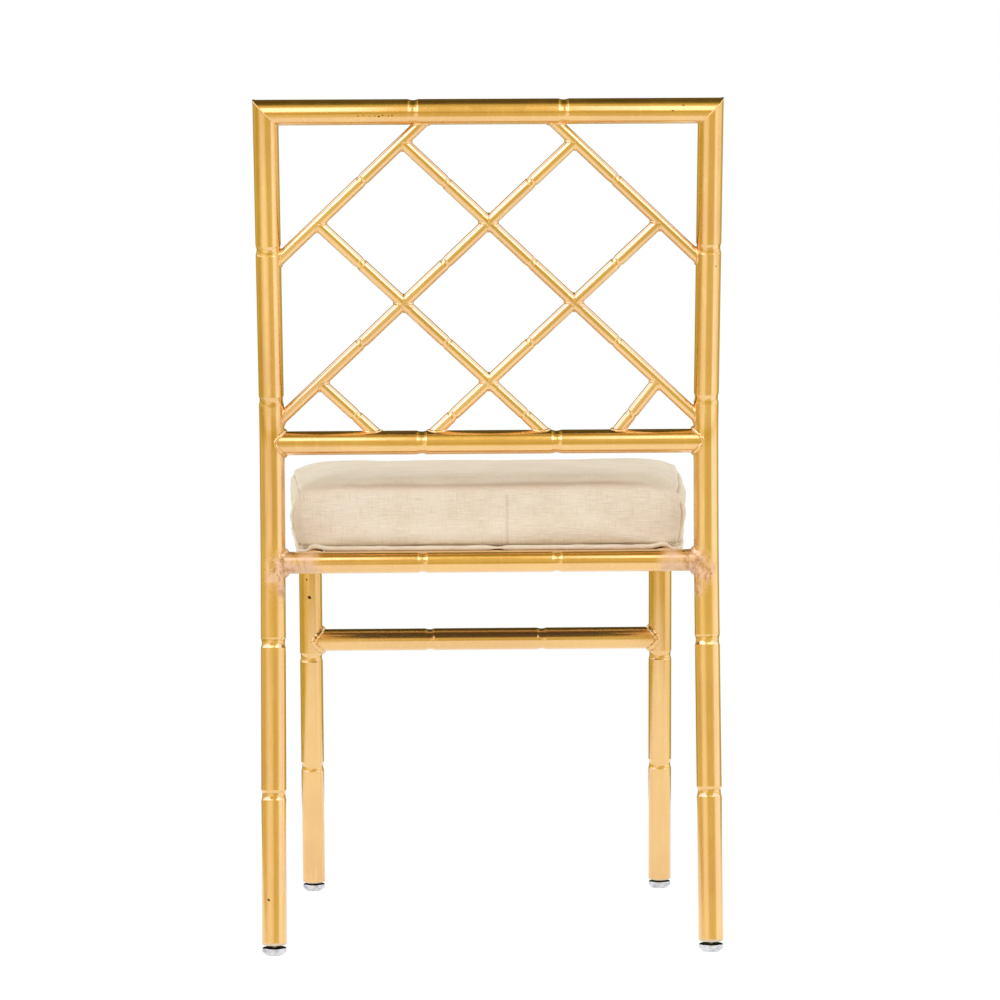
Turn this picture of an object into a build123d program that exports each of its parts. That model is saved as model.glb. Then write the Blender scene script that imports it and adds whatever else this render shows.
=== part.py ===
from build123d import *
import math
import os

# A steel banquet chair: a welded tube frame with a lattice back, a loose seat cushion and tilting feet.
# Sizes are millimetres and degrees. The chair faces -Y, its sitter's left is +X, and it stands on Z = 0.
# Until the last move, Y = 0 is the axis of the rear posts at the height of the seat.

# Tube stock
TUBE_DIAMETER = 25.0        # posts, top rail and front legs
TUBE_WALL = 1.5
RAIL_UNDERSIZE = 1.0        # how much thinner the lower back rail and the stretcher are than the posts
SEAT_RAIL_UNDERSIZE = 3.0   # and the rails of the seat
WELD_GAP = 0.1              # between a coped tube and what it is welded to

# Rear posts and back
POST_SPACING = 435.0        # between the axes of the two posts
LEG_KICK = 6.6              # backward lean of the rear legs
KNEE_ABOVE_SEAT = 12.4      # where the leg turns into the upright, above the seat rail's axis
KNEE_RADIUS = 250.0
BEND_ABOVE_RAIL = 12.5      # where the upright turns into the raked back, above the lower rail's axis
BEND_RADIUS = 150.0
BACK_RAKE = 14.0
LOWER_RAIL_ABOVE_SEAT = 119.9
TOP_RAIL_ABOVE_LOWER = 325.0

# Lattice of thin tubes, on a grid of rows and columns in the raked plane of the back
LATTICE_DIAMETER = 12.0
LATTICE_WALL = 1.2
LATTICE_SIDE_GAP = 48.5     # from the post's axis to the outer column
LATTICE_TOP_GAP = 29.5      # from the top rail's axis to the top row
LATTICE_LOW_GAP = 49.6      # from the bend to the lowest row
STEEP_STRUT_RUN = 48.0      # sideways run of the steep strut at the sitter's right

# Seat frame and front legs
SEAT_RAIL_HEIGHT = 387.6    # axis of the rear rail
SEAT_TILT = 1.7             # the front of the seat stands higher
SIDE_RAIL_INSET = 41.5      # from the post's axis to the rear end of the side rail
FRONT_LEG_SPACING = 384.4
LEG_TO_POST = 330.0         # from the rear rail's axis to the front legs' axes, along the seat
FRONT_LEG_LEAN = 5.5        # forward lean towards the floor
LEG_CAP_THICKNESS = 1.5
STRETCHER_BELOW_SEAT = 106.6

# Rolled rings that give the tubes their bamboo look
RING_WIDTH = 10.0
RING_DEPTH = 1.0
LATTICE_RING_WIDTH = 6.0
LATTICE_RING_DEPTH = 0.6
LEG_RING_SHARES = (0.375, 0.763)      # of the run from tube end to knee
BACK_RING_SHARES = (0.1, 0.576)       # of the run from bend to top rail
TOP_RAIL_RING_HALF = 73.5             # rings lie at plus and minus this on each rail
LOWER_RAIL_RING_HALF = 67.5
SEAT_RAIL_RING_HALF = 67.5
STRETCHER_RING_HALF = 61.5
FRONT_LEG_LOW_RING_SHARE = 0.335      # of the run from tube end to seat
ROOF_RING_SHARE = 0.43                # of a roof tube, from the top rail to the post
STRUT_RING_SHARE = 0.55               # of a short tube, from its upper end to the lower rail
RING_BELOW_STRETCHER = 18.0

# Seat panel, its tabs and screws
PANEL_THICKNESS = 9.0
PANEL_BELOW_RAIL_TOP = 2.0
PANEL_EDGE_CLEARANCE = 1.5
TAB_THICKNESS = 2.5
TAB_WIDTH = 28.0
TAB_REACH = 25.0
TAB_SHARES = (0.25, 0.75)             # along the side rails
SCREW_DIAMETER = 4.0
SCREW_HEAD_DIAMETER = 8.0
SCREW_HEAD_HEIGHT = 2.2
SCREW_BITE = 7.0                      # depth in the panel
SCREW_CLEARANCE = 0.3                 # radial, in the tab
PILOT_CLEARANCE = 0.05                # radial, in the panel

# Hook and loop strips
STRIP_WIDTH = 25.0
STRIP_LENGTH = 240.0
STRIP_THICKNESS = 1.1
STRIP_HALF_SPACING = 90.0
STRIP_GAP = 0.3

# Cushion
CUSHION_POST_GAP = 7.0                # from a post's inner face to the cushion's rear corner
CUSHION_LEG_OVERHANG = 13.3           # from a front leg's outer face to the cushion's front corner
CUSHION_NOSE = 25.5                   # how far the cushion stands out past the front legs
CUSHION_REAR_CLEARANCE = 6.0          # from the lower back rail's front to the cushion's back
CUSHION_EDGE_HEIGHT = 62.0
CUSHION_CROWN = 14.0
CUSHION_CORNER_RADIUS = 24.0
CUSHION_SIDE_DRAW = 3.0               # how far each side pulls in between its corners
CUSHION_EDGE_ROLL = 7.0               # inset of the rolled top and bottom edges
CUSHION_CROWN_REACH = 110.0           # how far in from the edge the crown is still rising
CUSHION_ROUNDNESS = 4                 # a higher power gives flatter faces and tighter edges
CUSHION_SIDE_SHARES = (0.0, 0.05, 0.12, 0.25, 0.5, 0.75, 0.88, 0.95, 1.0)
CUSHION_CROWN_SHARES = (0.05, 0.12, 0.24, 0.45, 1.0)
COVER_THICKNESS = 1.5
FOAM_CLEARANCE = 0.3

# Tilting feet
FOOT_GAP = 4.3                        # from the foot's rim to the end of the tube
FOOT_DIAMETER = 24.0
FOOT_SOLE_DIAMETER = 17.0
FOOT_HEIGHT = 7.2
FOOT_TAPER_HEIGHT = 3.4
FOOT_RIM_FILLET = 0.8
BALL_DIAMETER = 6.4
BALL_BELOW_RIM = 2.4
SOCKET_CLEARANCE = 0.3
NECK_DIAMETER = 3.2
SHANK_DIAMETER = 5.0
SHANK_LENGTH = 14.0
SHANK_CLEARANCE = 0.05
PLUG_LENGTH = 22.0
PLUG_CLEARANCE = 0.1
PLUG_FLANGE_THICKNESS = 1.0
PLUG_FLANGE_INSET = 0.2


SIDES = {"left": 1, "right": -1}
STANDING = (Align.CENTER, Align.CENTER, Align.MIN)
HANGING = (Align.CENTER, Align.CENTER, Align.MAX)

# Places worked out from the sizes above
tube_radius = TUBE_DIAMETER / 2
tube_bore = tube_radius - TUBE_WALL
rail_radius = tube_radius - RAIL_UNDERSIZE / 2
seat_rail_radius = tube_radius - SEAT_RAIL_UNDERSIZE / 2
lattice_radius = LATTICE_DIAMETER / 2
post_half = POST_SPACING / 2
leg_half = FRONT_LEG_SPACING / 2
side_rail_rear_half = post_half - SIDE_RAIL_INSET
tube_end_height = FOOT_HEIGHT + FOOT_GAP
ball_height = FOOT_HEIGHT - BALL_BELOW_RIM
knee_height = SEAT_RAIL_HEIGHT + KNEE_ABOVE_SEAT
lower_rail_height = SEAT_RAIL_HEIGHT + LOWER_RAIL_ABOVE_SEAT
top_rail_height = lower_rail_height + TOP_RAIL_ABOVE_LOWER
stretcher_height = SEAT_RAIL_HEIGHT - STRETCHER_BELOW_SEAT
bend_height = lower_rail_height + BEND_ABOVE_RAIL
rake_sin = math.sin(math.radians(BACK_RAKE))
rake_cos = math.cos(math.radians(BACK_RAKE))
rear_foot_y = (knee_height - tube_end_height) * math.tan(math.radians(LEG_KICK))
top_rail_up = (top_rail_height - bend_height) / rake_cos
lower_rail_up = (lower_rail_height - bend_height) / rake_cos
top_rail_y = top_rail_up * rake_sin
lattice_pitch_x = (post_half - LATTICE_SIDE_GAP) / 2
lattice_pitch_up = (top_rail_up - LATTICE_TOP_GAP - LATTICE_LOW_GAP) / 3
panel_top = seat_rail_radius - PANEL_BELOW_RAIL_TOP
panel_bottom = panel_top - PANEL_THICKNESS
loop_bottom = panel_top + STRIP_THICKNESS + STRIP_GAP
cushion_bottom = loop_bottom + STRIP_THICKNESS
cushion_rear_y = -rail_radius - CUSHION_REAR_CLEARANCE
cushion_front_y = -LEG_TO_POST - tube_radius - CUSHION_NOSE
cushion_rear_half = post_half - tube_radius - CUSHION_POST_GAP
cushion_front_half = leg_half + tube_radius + CUSHION_LEG_OVERHANG
trim_size = POST_SPACING + LEG_TO_POST     # blocks that trim tube ends are this large

# The seat frame, panel and cushion are drawn level and then tilted about the rear rail
seat = Location((0, 0, SEAT_RAIL_HEIGHT), (-SEAT_TILT, 0, 0))
tilt_sin = math.sin(math.radians(SEAT_TILT))
tilt_cos = math.cos(math.radians(SEAT_TILT))
leg_seat_y = -LEG_TO_POST * tilt_cos
leg_seat_z = SEAT_RAIL_HEIGHT + LEG_TO_POST * tilt_sin
lean_tan = math.tan(math.radians(FRONT_LEG_LEAN))


def back_point(x, up):
    """A point in the raked plane of the back, up being measured from the bend."""
    return Vector(x, up * rake_sin, bend_height + up * rake_cos)


def front_leg_point(side, height):
    """The point of a front leg's axis at a height above the floor."""
    return Vector(side * leg_half, leg_seat_y - (leg_seat_z - height) * lean_tan, height)


def solid_rod(start, end, radius):
    """A plain rod between two points."""
    axis = Vector(*end) - Vector(*start)
    rod = Cylinder(radius, axis.length, align=STANDING)
    return Plane(origin=start, z_dir=axis).location * rod


def cross_rod(y, z, half_length, radius):
    """A plain rod across the chair."""
    return solid_rod((-half_length, y, z), (half_length, y, z), radius)


def ring_tool(radius, width, depth):
    """The doughnut that rolls a ring of this width and depth into a tube."""
    roller = (width**2 / 4 + depth**2) / (2 * depth)
    return Torus(radius - depth + roller, roller)


def ringed_tube(start, end, radius, wall, ring_places, ring_width, ring_depth):
    """A straight tube with rings rolled in at distances from its start."""
    bore = radius - wall
    length = (Vector(*end) - Vector(*start)).length
    outline = []
    last = (radius, 0, 0)
    for place in sorted(ring_places):
        below = (radius, 0, place - ring_width / 2)
        above = (radius, 0, place + ring_width / 2)
        outline.append(Line(last, below))
        outline.append(ThreePointArc(below, (radius - ring_depth, 0, place), above))
        last = above
    outline.append(Line(last, (radius, 0, length)))
    outline.append(Polyline((radius, 0, length), (bore, 0, length), (bore, 0, 0), (radius, 0, 0)))
    tube = revolve(make_face(Curve() + outline), Axis.Z)
    return Plane(origin=start, z_dir=Vector(*end) - Vector(*start)).location * tube


def ringed_rail(y, z, half_length, radius, ring_half):
    """A rail across the chair with a ring at each side of its middle."""
    places = (half_length - ring_half, half_length + ring_half)
    start = (-half_length, y, z)
    end = (half_length, y, z)
    return ringed_tube(start, end, radius, TUBE_WALL, places, RING_WIDTH, RING_DEPTH)


def coped(tube, carriers):
    """A tube whose ends are hollowed to fit the tubes that carry it."""
    for carrier in carriers:
        tube -= carrier
    return tube


def block_beyond(origin, direction, across, gap):
    """A block that fills the space past a plane, drawn back from it by half a weld gap."""
    plane = Plane(origin=origin, x_dir=across, z_dir=direction)
    block = Box(trim_size, trim_size, trim_size, align=STANDING)
    return plane.location * Pos(0, 0, -gap / 2) * block


def post_sweep(side, radius):
    """The bent centre line of a rear post swept by a disc, a little past the top corner."""
    x = side * post_half
    past_top = back_point(x, top_rail_up + TUBE_DIAMETER)
    foot = (x, rear_foot_y, tube_end_height)
    knee = (x, 0, knee_height)
    bend = (x, 0, bend_height)
    path = FilletPolyline(foot, knee, bend, past_top, radius=[KNEE_RADIUS, BEND_RADIUS])
    section = Plane(origin=path @ 0, z_dir=path % 0) * Circle(radius)
    return sweep(section, path=path)


def mitre_cut(side, keep):
    """The block that mitres the post or the top rail at one top corner."""
    corner = back_point(side * post_half, top_rail_up)
    plane_normal = Vector(0, -rake_cos, rake_sin)
    rail_side = Vector(-side, rake_sin, rake_cos)
    direction = rail_side if keep == "post" else rail_side * -1
    return block_beyond(corner, direction, plane_normal, WELD_GAP)


def rear_post(side):
    """One tube from the floor to the mitred top corner, with its rolled rings."""
    x = side * post_half
    post = post_sweep(side, tube_radius) - post_sweep(side, tube_bore)
    post -= mitre_cut(side, "post")
    foot = Vector(x, rear_foot_y, tube_end_height)
    knee = Vector(x, 0, knee_height)
    for share in LEG_RING_SHARES:
        plane = Plane(origin=foot + (knee - foot) * share, z_dir=knee - foot)
        post -= plane.location * ring_tool(tube_radius, RING_WIDTH, RING_DEPTH)
    for share in BACK_RING_SHARES:
        plane = Plane(origin=back_point(x, top_rail_up * share), z_dir=(0, rake_sin, rake_cos))
        post -= plane.location * ring_tool(tube_radius, RING_WIDTH, RING_DEPTH)
    return post


def top_rail():
    """The rail across the top, mitred into both posts."""
    half_length = post_half + TUBE_DIAMETER
    rail = ringed_rail(top_rail_y, top_rail_height, half_length, tube_radius, TOP_RAIL_RING_HALF)
    for side in SIDES.values():
        rail -= mitre_cut(side, "rail")
    return rail


def front_leg_ends(side):
    """The end of a front leg's tube and a point of its axis well past the seat."""
    return front_leg_point(side, tube_end_height), front_leg_point(side, leg_seat_z + 2 * TUBE_DIAMETER)


def front_leg_rod(side, extra):
    """A solid rod along a front leg, wider than the leg by a gap."""
    return solid_rod(*front_leg_ends(side), tube_radius + extra)


def above_seat_plane(height):
    """The space above a plane of the tilted seat frame."""
    block = Box(trim_size, trim_size, trim_size, align=STANDING)
    return seat * Pos(0, -LEG_TO_POST, height) * block


def front_leg(side):
    """A leaning tube from the floor to just below the top of the seat frame."""
    start, end = front_leg_ends(side)
    run = (front_leg_point(side, leg_seat_z) - start).length
    upper_ring = (front_leg_point(side, stretcher_height - RING_BELOW_STRETCHER) - start).length
    places = (run * FRONT_LEG_LOW_RING_SHARE, upper_ring)
    leg = ringed_tube(start, end, tube_radius, TUBE_WALL, places, RING_WIDTH, RING_DEPTH)
    return leg - above_seat_plane(seat_rail_radius - LEG_CAP_THICKNESS)


def below_seat_plane(height):
    """The space below a plane of the tilted seat frame."""
    block = Box(trim_size, trim_size, trim_size, align=HANGING)
    return seat * Pos(0, -LEG_TO_POST, height) * block


def leg_cap(side):
    """The disc welded on the open top of a front leg."""
    rod = front_leg_rod(side, 0)
    return rod - above_seat_plane(seat_rail_radius) - below_seat_plane(seat_rail_radius - LEG_CAP_THICKNESS)


def side_rail_x(y):
    """How far out a side rail's axis lies at a place along the seat."""
    return side_rail_rear_half + (leg_half - side_rail_rear_half) * (-y / LEG_TO_POST)


def side_rail_rod(side, radius):
    """A solid rod along a side rail, in the tilted seat frame."""
    rod = solid_rod((side * side_rail_rear_half, 0, 0), (side * leg_half, -LEG_TO_POST, 0), radius)
    return seat * rod


def side_seat_rail(side):
    """A side rail of the seat, hollowed to fit the rear rail and the front leg."""
    rail = side_rail_rod(side, seat_rail_radius) - side_rail_rod(side, seat_rail_radius - TUBE_WALL)
    rear = cross_rod(0, SEAT_RAIL_HEIGHT, post_half, seat_rail_radius + WELD_GAP)
    return coped(rail, (rear, front_leg_rod(side, WELD_GAP)))


def front_seat_rail(carriers):
    """The plain rail between the tops of the front legs, cut back where the side rails meet it."""
    rail = cross_rod(leg_seat_y, leg_seat_z, leg_half, seat_rail_radius)
    rail -= cross_rod(leg_seat_y, leg_seat_z, leg_half, seat_rail_radius - TUBE_WALL)
    return coped(rail, carriers)


def lattice_tube(start, end, carriers, ring_points):
    """One lattice tube between two places on the back, hollowed at its ends to fit its carriers."""
    first = back_point(*start)
    last = back_point(*end)
    places = [(back_point(*point) - first).length for point in ring_points]
    tube = ringed_tube(
        first, last, lattice_radius, LATTICE_WALL, places, LATTICE_RING_WIDTH, LATTICE_RING_DEPTH
    )
    return coped(tube, carriers)


def between(start, end, share):
    """The point a share of the way from one place on the back to another."""
    return (start[0] + (end[0] - start[0]) * share, start[1] + (end[1] - start[1]) * share)


def lattice(posts, top, lower):
    """The twelve tubes of the back, named by where they run as seen by the sitter."""
    slope = lattice_pitch_up / lattice_pitch_x

    def grid(column, row):
        return (column * lattice_pitch_x, LATTICE_LOW_GAP + row * lattice_pitch_up)

    def at_up(point, up, lean):
        return (point[0] + (up - point[1]) / (lean * slope), up)

    def at_post(point, side, lean):
        return (side * post_half, point[1] + (side * post_half - point[0]) * lean * slope)

    def middle(a, b):
        return between(grid(*a), grid(*b), 0.5)

    top_left = grid(1, 3)
    top_right = grid(-1, 3)
    shoulder_left = grid(2, 2)
    shoulder_right = grid(-2, 2)
    low_left = grid(2, 0)
    low_right = grid(-2, 0)
    low_middle = grid(0, 0)

    # Ends of the tubes that reach the rails and posts; lean is +1 where a tube rises towards the left
    roof_left = (at_up(top_left, top_rail_up, -1), at_post(shoulder_left, 1, -1))
    roof_right = (at_up(top_right, top_rail_up, 1), at_post(shoulder_right, -1, 1))
    long_upper = (top_left, at_post(grid(0, 2), -1, 1))
    long_lower = (shoulder_left, at_up(low_middle, lower_rail_up, 1))
    rise_low = at_post(grid(0, 2), 1, -1)
    fall_low = at_up(low_middle, lower_rail_up, -1)
    strut_left = (low_left, at_up(low_left, lower_rail_up, 1))
    strut_right = (low_right, (low_right[0] + STEEP_STRUT_RUN, lower_rail_up))

    def rod(ends):
        return solid_rod(back_point(*ends[0]), back_point(*ends[1]), lattice_radius + WELD_GAP)

    roof_left_rod = rod(roof_left)
    roof_right_rod = rod(roof_right)
    upper_rod = rod(long_upper)
    lower_rod = rod(long_lower)
    rise_low_rod = rod((rise_low, grid(1, 1)))
    tubes = {
        "roof_left": (roof_left, (top, posts["left"]), [between(*roof_left, ROOF_RING_SHARE)]),
        "roof_right": (roof_right, (top, posts["right"]), [between(*roof_right, ROOF_RING_SHARE)]),
        "long_upper": (
            long_upper,
            (roof_left_rod, posts["right"]),
            [middle((1, 3), (0, 2)), middle((0, 2), (-1, 1)), middle((-1, 1), (-2, 0))],
        ),
        "long_lower": (
            long_lower,
            (roof_left_rod, lower),
            [
                middle((2, 2), (1, 1)),
                middle((1, 1), (0, 0)),
                between(low_middle, long_lower[1], STRUT_RING_SHARE),
            ],
        ),
        "rise_low": ((rise_low, grid(1, 1)), (posts["left"], lower_rod), [middle((2, 0), (1, 1))]),
        "rise_middle": ((grid(1, 1), grid(0, 2)), (lower_rod, upper_rod), [middle((1, 1), (0, 2))]),
        "rise_high": ((grid(0, 2), top_right), (upper_rod, roof_right_rod), [middle((0, 2), (-1, 3))]),
        "fall_low": (
            (fall_low, low_middle),
            (lower, lower_rod),
            [between(low_middle, fall_low, STRUT_RING_SHARE)],
        ),
        "fall_middle": ((low_middle, grid(-1, 1)), (lower_rod, upper_rod), [middle((0, 0), (-1, 1))]),
        "fall_high": ((grid(-1, 1), shoulder_right), (upper_rod, roof_right_rod), [middle((-1, 1), (-2, 2))]),
        "strut_left": (strut_left, (rise_low_rod, lower), [between(*strut_left, STRUT_RING_SHARE)]),
        "strut_right": (strut_right, (upper_rod, lower), [between(*strut_right, STRUT_RING_SHARE)]),
    }
    return {name: lattice_tube(*ends, carriers, rings) for name, (ends, carriers, rings) in tubes.items()}


def seat_panel():
    """The plywood panel that lies inside the seat frame, with pilot holes for its screws."""
    edge = seat_rail_radius + PANEL_EDGE_CLEARANCE
    rear_y = -edge
    front_y = -LEG_TO_POST + edge
    rear_x = side_rail_x(rear_y) - edge
    front_x = side_rail_x(front_y) - edge
    corners = [(-rear_x, rear_y), (rear_x, rear_y), (front_x, front_y), (-front_x, front_y)]
    outline = Polyline(corners, close=True)
    panel = Pos(0, 0, panel_bottom) * extrude(make_face(outline), PANEL_THICKNESS)
    hole = Cylinder(SCREW_DIAMETER / 2 + PILOT_CLEARANCE, SCREW_BITE + PILOT_CLEARANCE, align=STANDING)
    for x, y in screw_places():
        panel -= Pos(x, y, panel_bottom) * hole
    return seat * panel


def tab_places():
    """The side and the place along the seat of each tab."""
    return [(side, -LEG_TO_POST * share) for side in SIDES.values() for share in TAB_SHARES]


def screw_places():
    """Where each panel screw stands, in the middle of its tab."""
    inboard = seat_rail_radius + TAB_REACH / 2
    return [(side * (side_rail_x(y) - inboard), y) for side, y in tab_places()]


def seat_tabs():
    """The flat tabs welded to the side rails, which carry the panel."""
    tabs = []
    length = seat_rail_radius + TAB_REACH
    hole = Cylinder(SCREW_DIAMETER / 2 + SCREW_CLEARANCE, 3 * TAB_THICKNESS)
    for (side, y), (screw_x, screw_y) in zip(tab_places(), screw_places()):
        centre_x = side * (side_rail_x(y) - length / 2)
        tab = Pos(centre_x, y, panel_bottom - TAB_THICKNESS / 2) * Box(length, TAB_WIDTH, TAB_THICKNESS)
        tab -= Pos(screw_x, screw_y, panel_bottom) * hole
        tabs.append(seat * tab - side_rail_rod(side, seat_rail_radius + WELD_GAP))
    return tabs


def panel_screws():
    """The screws that come up through the tabs into the panel."""
    screws = []
    tab_bottom = panel_bottom - TAB_THICKNESS
    head = Cylinder(SCREW_HEAD_DIAMETER / 2, SCREW_HEAD_HEIGHT, align=HANGING)
    shank = Cylinder(SCREW_DIAMETER / 2, TAB_THICKNESS + SCREW_BITE, align=STANDING)
    for x, y in screw_places():
        screws.append(seat * Pos(x, y, tab_bottom) * (head + shank))
    return screws


def strips(bottom):
    """A pair of hook or loop strips lying along the seat."""
    strip = Box(STRIP_WIDTH, STRIP_LENGTH, STRIP_THICKNESS, align=STANDING)
    middle_y = -LEG_TO_POST / 2
    return [seat * Pos(side * STRIP_HALF_SPACING, middle_y, bottom) * strip for side in SIDES.values()]


def cushion_outline(inset, height):
    """One level slice of the cushion: sides drawn in between rounded corners."""
    rear_y = cushion_rear_y - inset
    front_y = cushion_front_y + inset
    rear_x = cushion_rear_half - inset
    front_x = cushion_front_half - inset
    corners = [
        Vector(rear_x, rear_y, height),
        Vector(-rear_x, rear_y, height),
        Vector(-front_x, front_y, height),
        Vector(front_x, front_y, height),
    ]
    centre = Vector(0, (rear_y + front_y) / 2, height)
    edges = []
    for index, corner in enumerate(corners):
        before = corners[index - 1]
        after = corners[(index + 1) % len(corners)]
        arrive = corner + (before - corner).normalized() * CUSHION_CORNER_RADIUS
        leave = corner + (after - corner).normalized() * CUSHION_CORNER_RADIUS
        pivot = arrive + leave - corner
        peak = pivot + (corner - pivot).normalized() * CUSHION_CORNER_RADIUS
        edges.append(ThreePointArc(arrive, peak, leave))
        side_end = after + (corner - after).normalized() * CUSHION_CORNER_RADIUS
        middle = (leave + side_end) * 0.5
        drawn = middle + (centre - middle).normalized() * CUSHION_SIDE_DRAW
        edges.append(ThreePointArc(leave, drawn, side_end))
    return make_face(Curve() + edges)


def cushion_slices(shrink):
    """Height and inset of each level slice of the cushion, from its flat base to the middle of its crown."""
    base = cushion_bottom + shrink
    edge = CUSHION_EDGE_HEIGHT - 2 * shrink
    slices = []
    for share in CUSHION_SIDE_SHARES:
        inset = CUSHION_EDGE_ROLL * abs(2 * share - 1) ** CUSHION_ROUNDNESS
        slices.append((base + edge * share, shrink + inset))
    for share in CUSHION_CROWN_SHARES:
        rise = CUSHION_CROWN * (1 - (1 - share) ** CUSHION_ROUNDNESS)
        slices.append((base + edge + rise, shrink + CUSHION_EDGE_ROLL + CUSHION_CROWN_REACH * share))
    return slices


def cushion_form(shrink):
    """The crowned cushion, made smaller all round by a wall; it is lofted through its level slices."""
    return loft([cushion_outline(inset, height) for height, inset in cushion_slices(shrink)], ruled=True)


def cushion_cover():
    """The sewn cover as a closed skin round its foam."""
    return seat * (cushion_form(0) - cushion_form(COVER_THICKNESS))


def cushion_foam():
    """The foam block inside the cover."""
    return seat * cushion_form(COVER_THICKNESS + FOAM_CLEARANCE)


def foot_places():
    """Each foot's name with the end of its tube and a higher point of the tube's axis."""
    places = {}
    for name, side in SIDES.items():
        rear_end = Vector(side * post_half, rear_foot_y, tube_end_height)
        places[f"rear_{name}"] = (rear_end, Vector(side * post_half, 0, knee_height))
        front_end = front_leg_point(side, tube_end_height)
        places[f"front_{name}"] = (front_end, front_leg_point(side, leg_seat_z))
    return places


def ball_centre(tube_end, higher):
    """Where the tube's axis comes down to the height of the ball."""
    axis = higher - tube_end
    return tube_end - axis * ((tube_end_height - ball_height) / axis.Z)


def glide_plug(tube_end, higher):
    """A nylon plug in a tube's end, with a thin flange under the wall and a hole for the stud."""
    up = Plane(origin=tube_end, z_dir=higher - tube_end).location
    stem = Cylinder(tube_bore - PLUG_CLEARANCE, PLUG_LENGTH, align=STANDING)
    flange = Cylinder(tube_radius - PLUG_FLANGE_INSET, PLUG_FLANGE_THICKNESS, align=HANGING)
    hole_depth = SHANK_LENGTH + PLUG_FLANGE_THICKNESS + SHANK_CLEARANCE
    hole = Cylinder(SHANK_DIAMETER / 2 + SHANK_CLEARANCE, hole_depth, align=STANDING)
    return up * (stem + flange - Pos(0, 0, -PLUG_FLANGE_THICKNESS) * hole)


def glide_stud(tube_end, higher):
    """A steel stud: a shank in the plug, a neck and the ball that the foot tilts on."""
    up = Plane(origin=tube_end, z_dir=higher - tube_end).location
    drop = (tube_end - ball_centre(tube_end, higher)).length
    shank_length = SHANK_LENGTH + PLUG_FLANGE_THICKNESS
    shank = Cylinder(SHANK_DIAMETER / 2, shank_length, align=STANDING)
    neck = Cylinder(NECK_DIAMETER / 2, drop, align=HANGING)
    ball = Pos(0, 0, -drop) * Sphere(BALL_DIAMETER / 2)
    return up * (Pos(0, 0, -PLUG_FLANGE_THICKNESS) * shank + neck + ball)


def glide_base(tube_end, higher):
    """A plated steel foot that tilts on the ball and stands flat on the floor."""
    centre = ball_centre(tube_end, higher)
    rim = FOOT_DIAMETER / 2
    sole = FOOT_SOLE_DIAMETER / 2
    top = FOOT_HEIGHT
    corners = [(0, 0, 0), (sole, 0, 0), (rim, 0, FOOT_TAPER_HEIGHT), (rim, 0, top), (0, 0, top)]
    base = revolve(make_face(Polyline(corners, close=True)), Axis.Z)
    base = fillet(base.edges().filter_by(GeomType.CIRCLE).sort_by(Axis.Z)[-1], FOOT_RIM_FILLET)
    base -= Pos(0, 0, ball_height) * Sphere(BALL_DIAMETER / 2 + SOCKET_CLEARANCE)
    return Pos(centre.X, centre.Y, 0) * base


def chair_parts():
    """Every sub-part by name, as one shape or a list of separate solids."""
    post_rods = {name: post_sweep(side, tube_radius + WELD_GAP) for name, side in SIDES.items()}
    posts = post_rods.values()
    legs = [front_leg_rod(side, WELD_GAP) for side in SIDES.values()]
    side_rails = [side_rail_rod(side, seat_rail_radius + WELD_GAP) for side in SIDES.values()]
    lower_rod = cross_rod(0, lower_rail_height, post_half, rail_radius + WELD_GAP)
    top_rod = cross_rod(top_rail_y, top_rail_height, post_half, tube_radius + WELD_GAP)
    lower_rail = ringed_rail(0, lower_rail_height, post_half, rail_radius, LOWER_RAIL_RING_HALF)
    rear_rail = ringed_rail(0, SEAT_RAIL_HEIGHT, post_half, seat_rail_radius, SEAT_RAIL_RING_HALF)
    stretcher_y = front_leg_point(1, stretcher_height).Y
    stretcher = ringed_rail(stretcher_y, stretcher_height, leg_half, rail_radius, STRETCHER_RING_HALF)
    parts = {
        "top_rail": top_rail(),
        "lower_back_rail": coped(lower_rail, posts),
        "rear_seat_rail": coped(rear_rail, posts),
        "front_seat_rail": front_seat_rail(legs + side_rails),
        "front_stretcher": coped(stretcher, legs),
        "leg_top_caps": [leg_cap(side) for side in SIDES.values()],
        "seat_tabs": seat_tabs(),
        "seat_panel": seat_panel(),
        "panel_screws": panel_screws(),
        "hook_strips": strips(panel_top),
        "loop_strips": strips(loop_bottom),
        "cushion_cover": cushion_cover(),
        "cushion_foam": cushion_foam(),
    }
    for name, side in SIDES.items():
        parts[f"rear_post_{name}"] = rear_post(side)
        parts[f"front_leg_{name}"] = front_leg(side)
        parts[f"side_seat_rail_{name}"] = side_seat_rail(side)
    for name, tube in lattice(post_rods, top_rod, lower_rod).items():
        parts[f"lattice_{name}"] = tube
    feet = foot_places()
    parts["glide_plugs"] = [glide_plug(*place) for place in feet.values()]
    parts["glide_studs"] = [glide_stud(*place) for place in feet.values()]
    for name, place in feet.items():
        parts[f"glide_base_{name}"] = glide_base(*place)
    return parts


def middle_of_depth():
    """How far the middle of the chair's depth lies behind the rear posts' axis."""
    rear = top_rail_y + tube_radius
    ball = ball_centre(*foot_places()["front_left"])
    front = min(ball.Y - FOOT_DIAMETER / 2, cushion_front_y)
    return (rear + front) / 2


def main():
    os.makedirs("parts", exist_ok=True)
    centring = Pos(0, -middle_of_depth(), 0)
    for name, shape in chair_parts().items():
        solids = shape if isinstance(shape, list) else shape.solids()
        placed = [centring * solid for solid in solids]
        whole = placed[0] if len(placed) == 1 else Compound(children=placed)
        export_step(whole, f"parts/{name}.step")


main()
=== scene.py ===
import math

import bmesh
import bpy
import numpy as np
from mathutils import Matrix, Quaternion, Vector, noise
from mathutils.bvhtree import BVHTree
from mathutils.kdtree import KDTree


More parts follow.
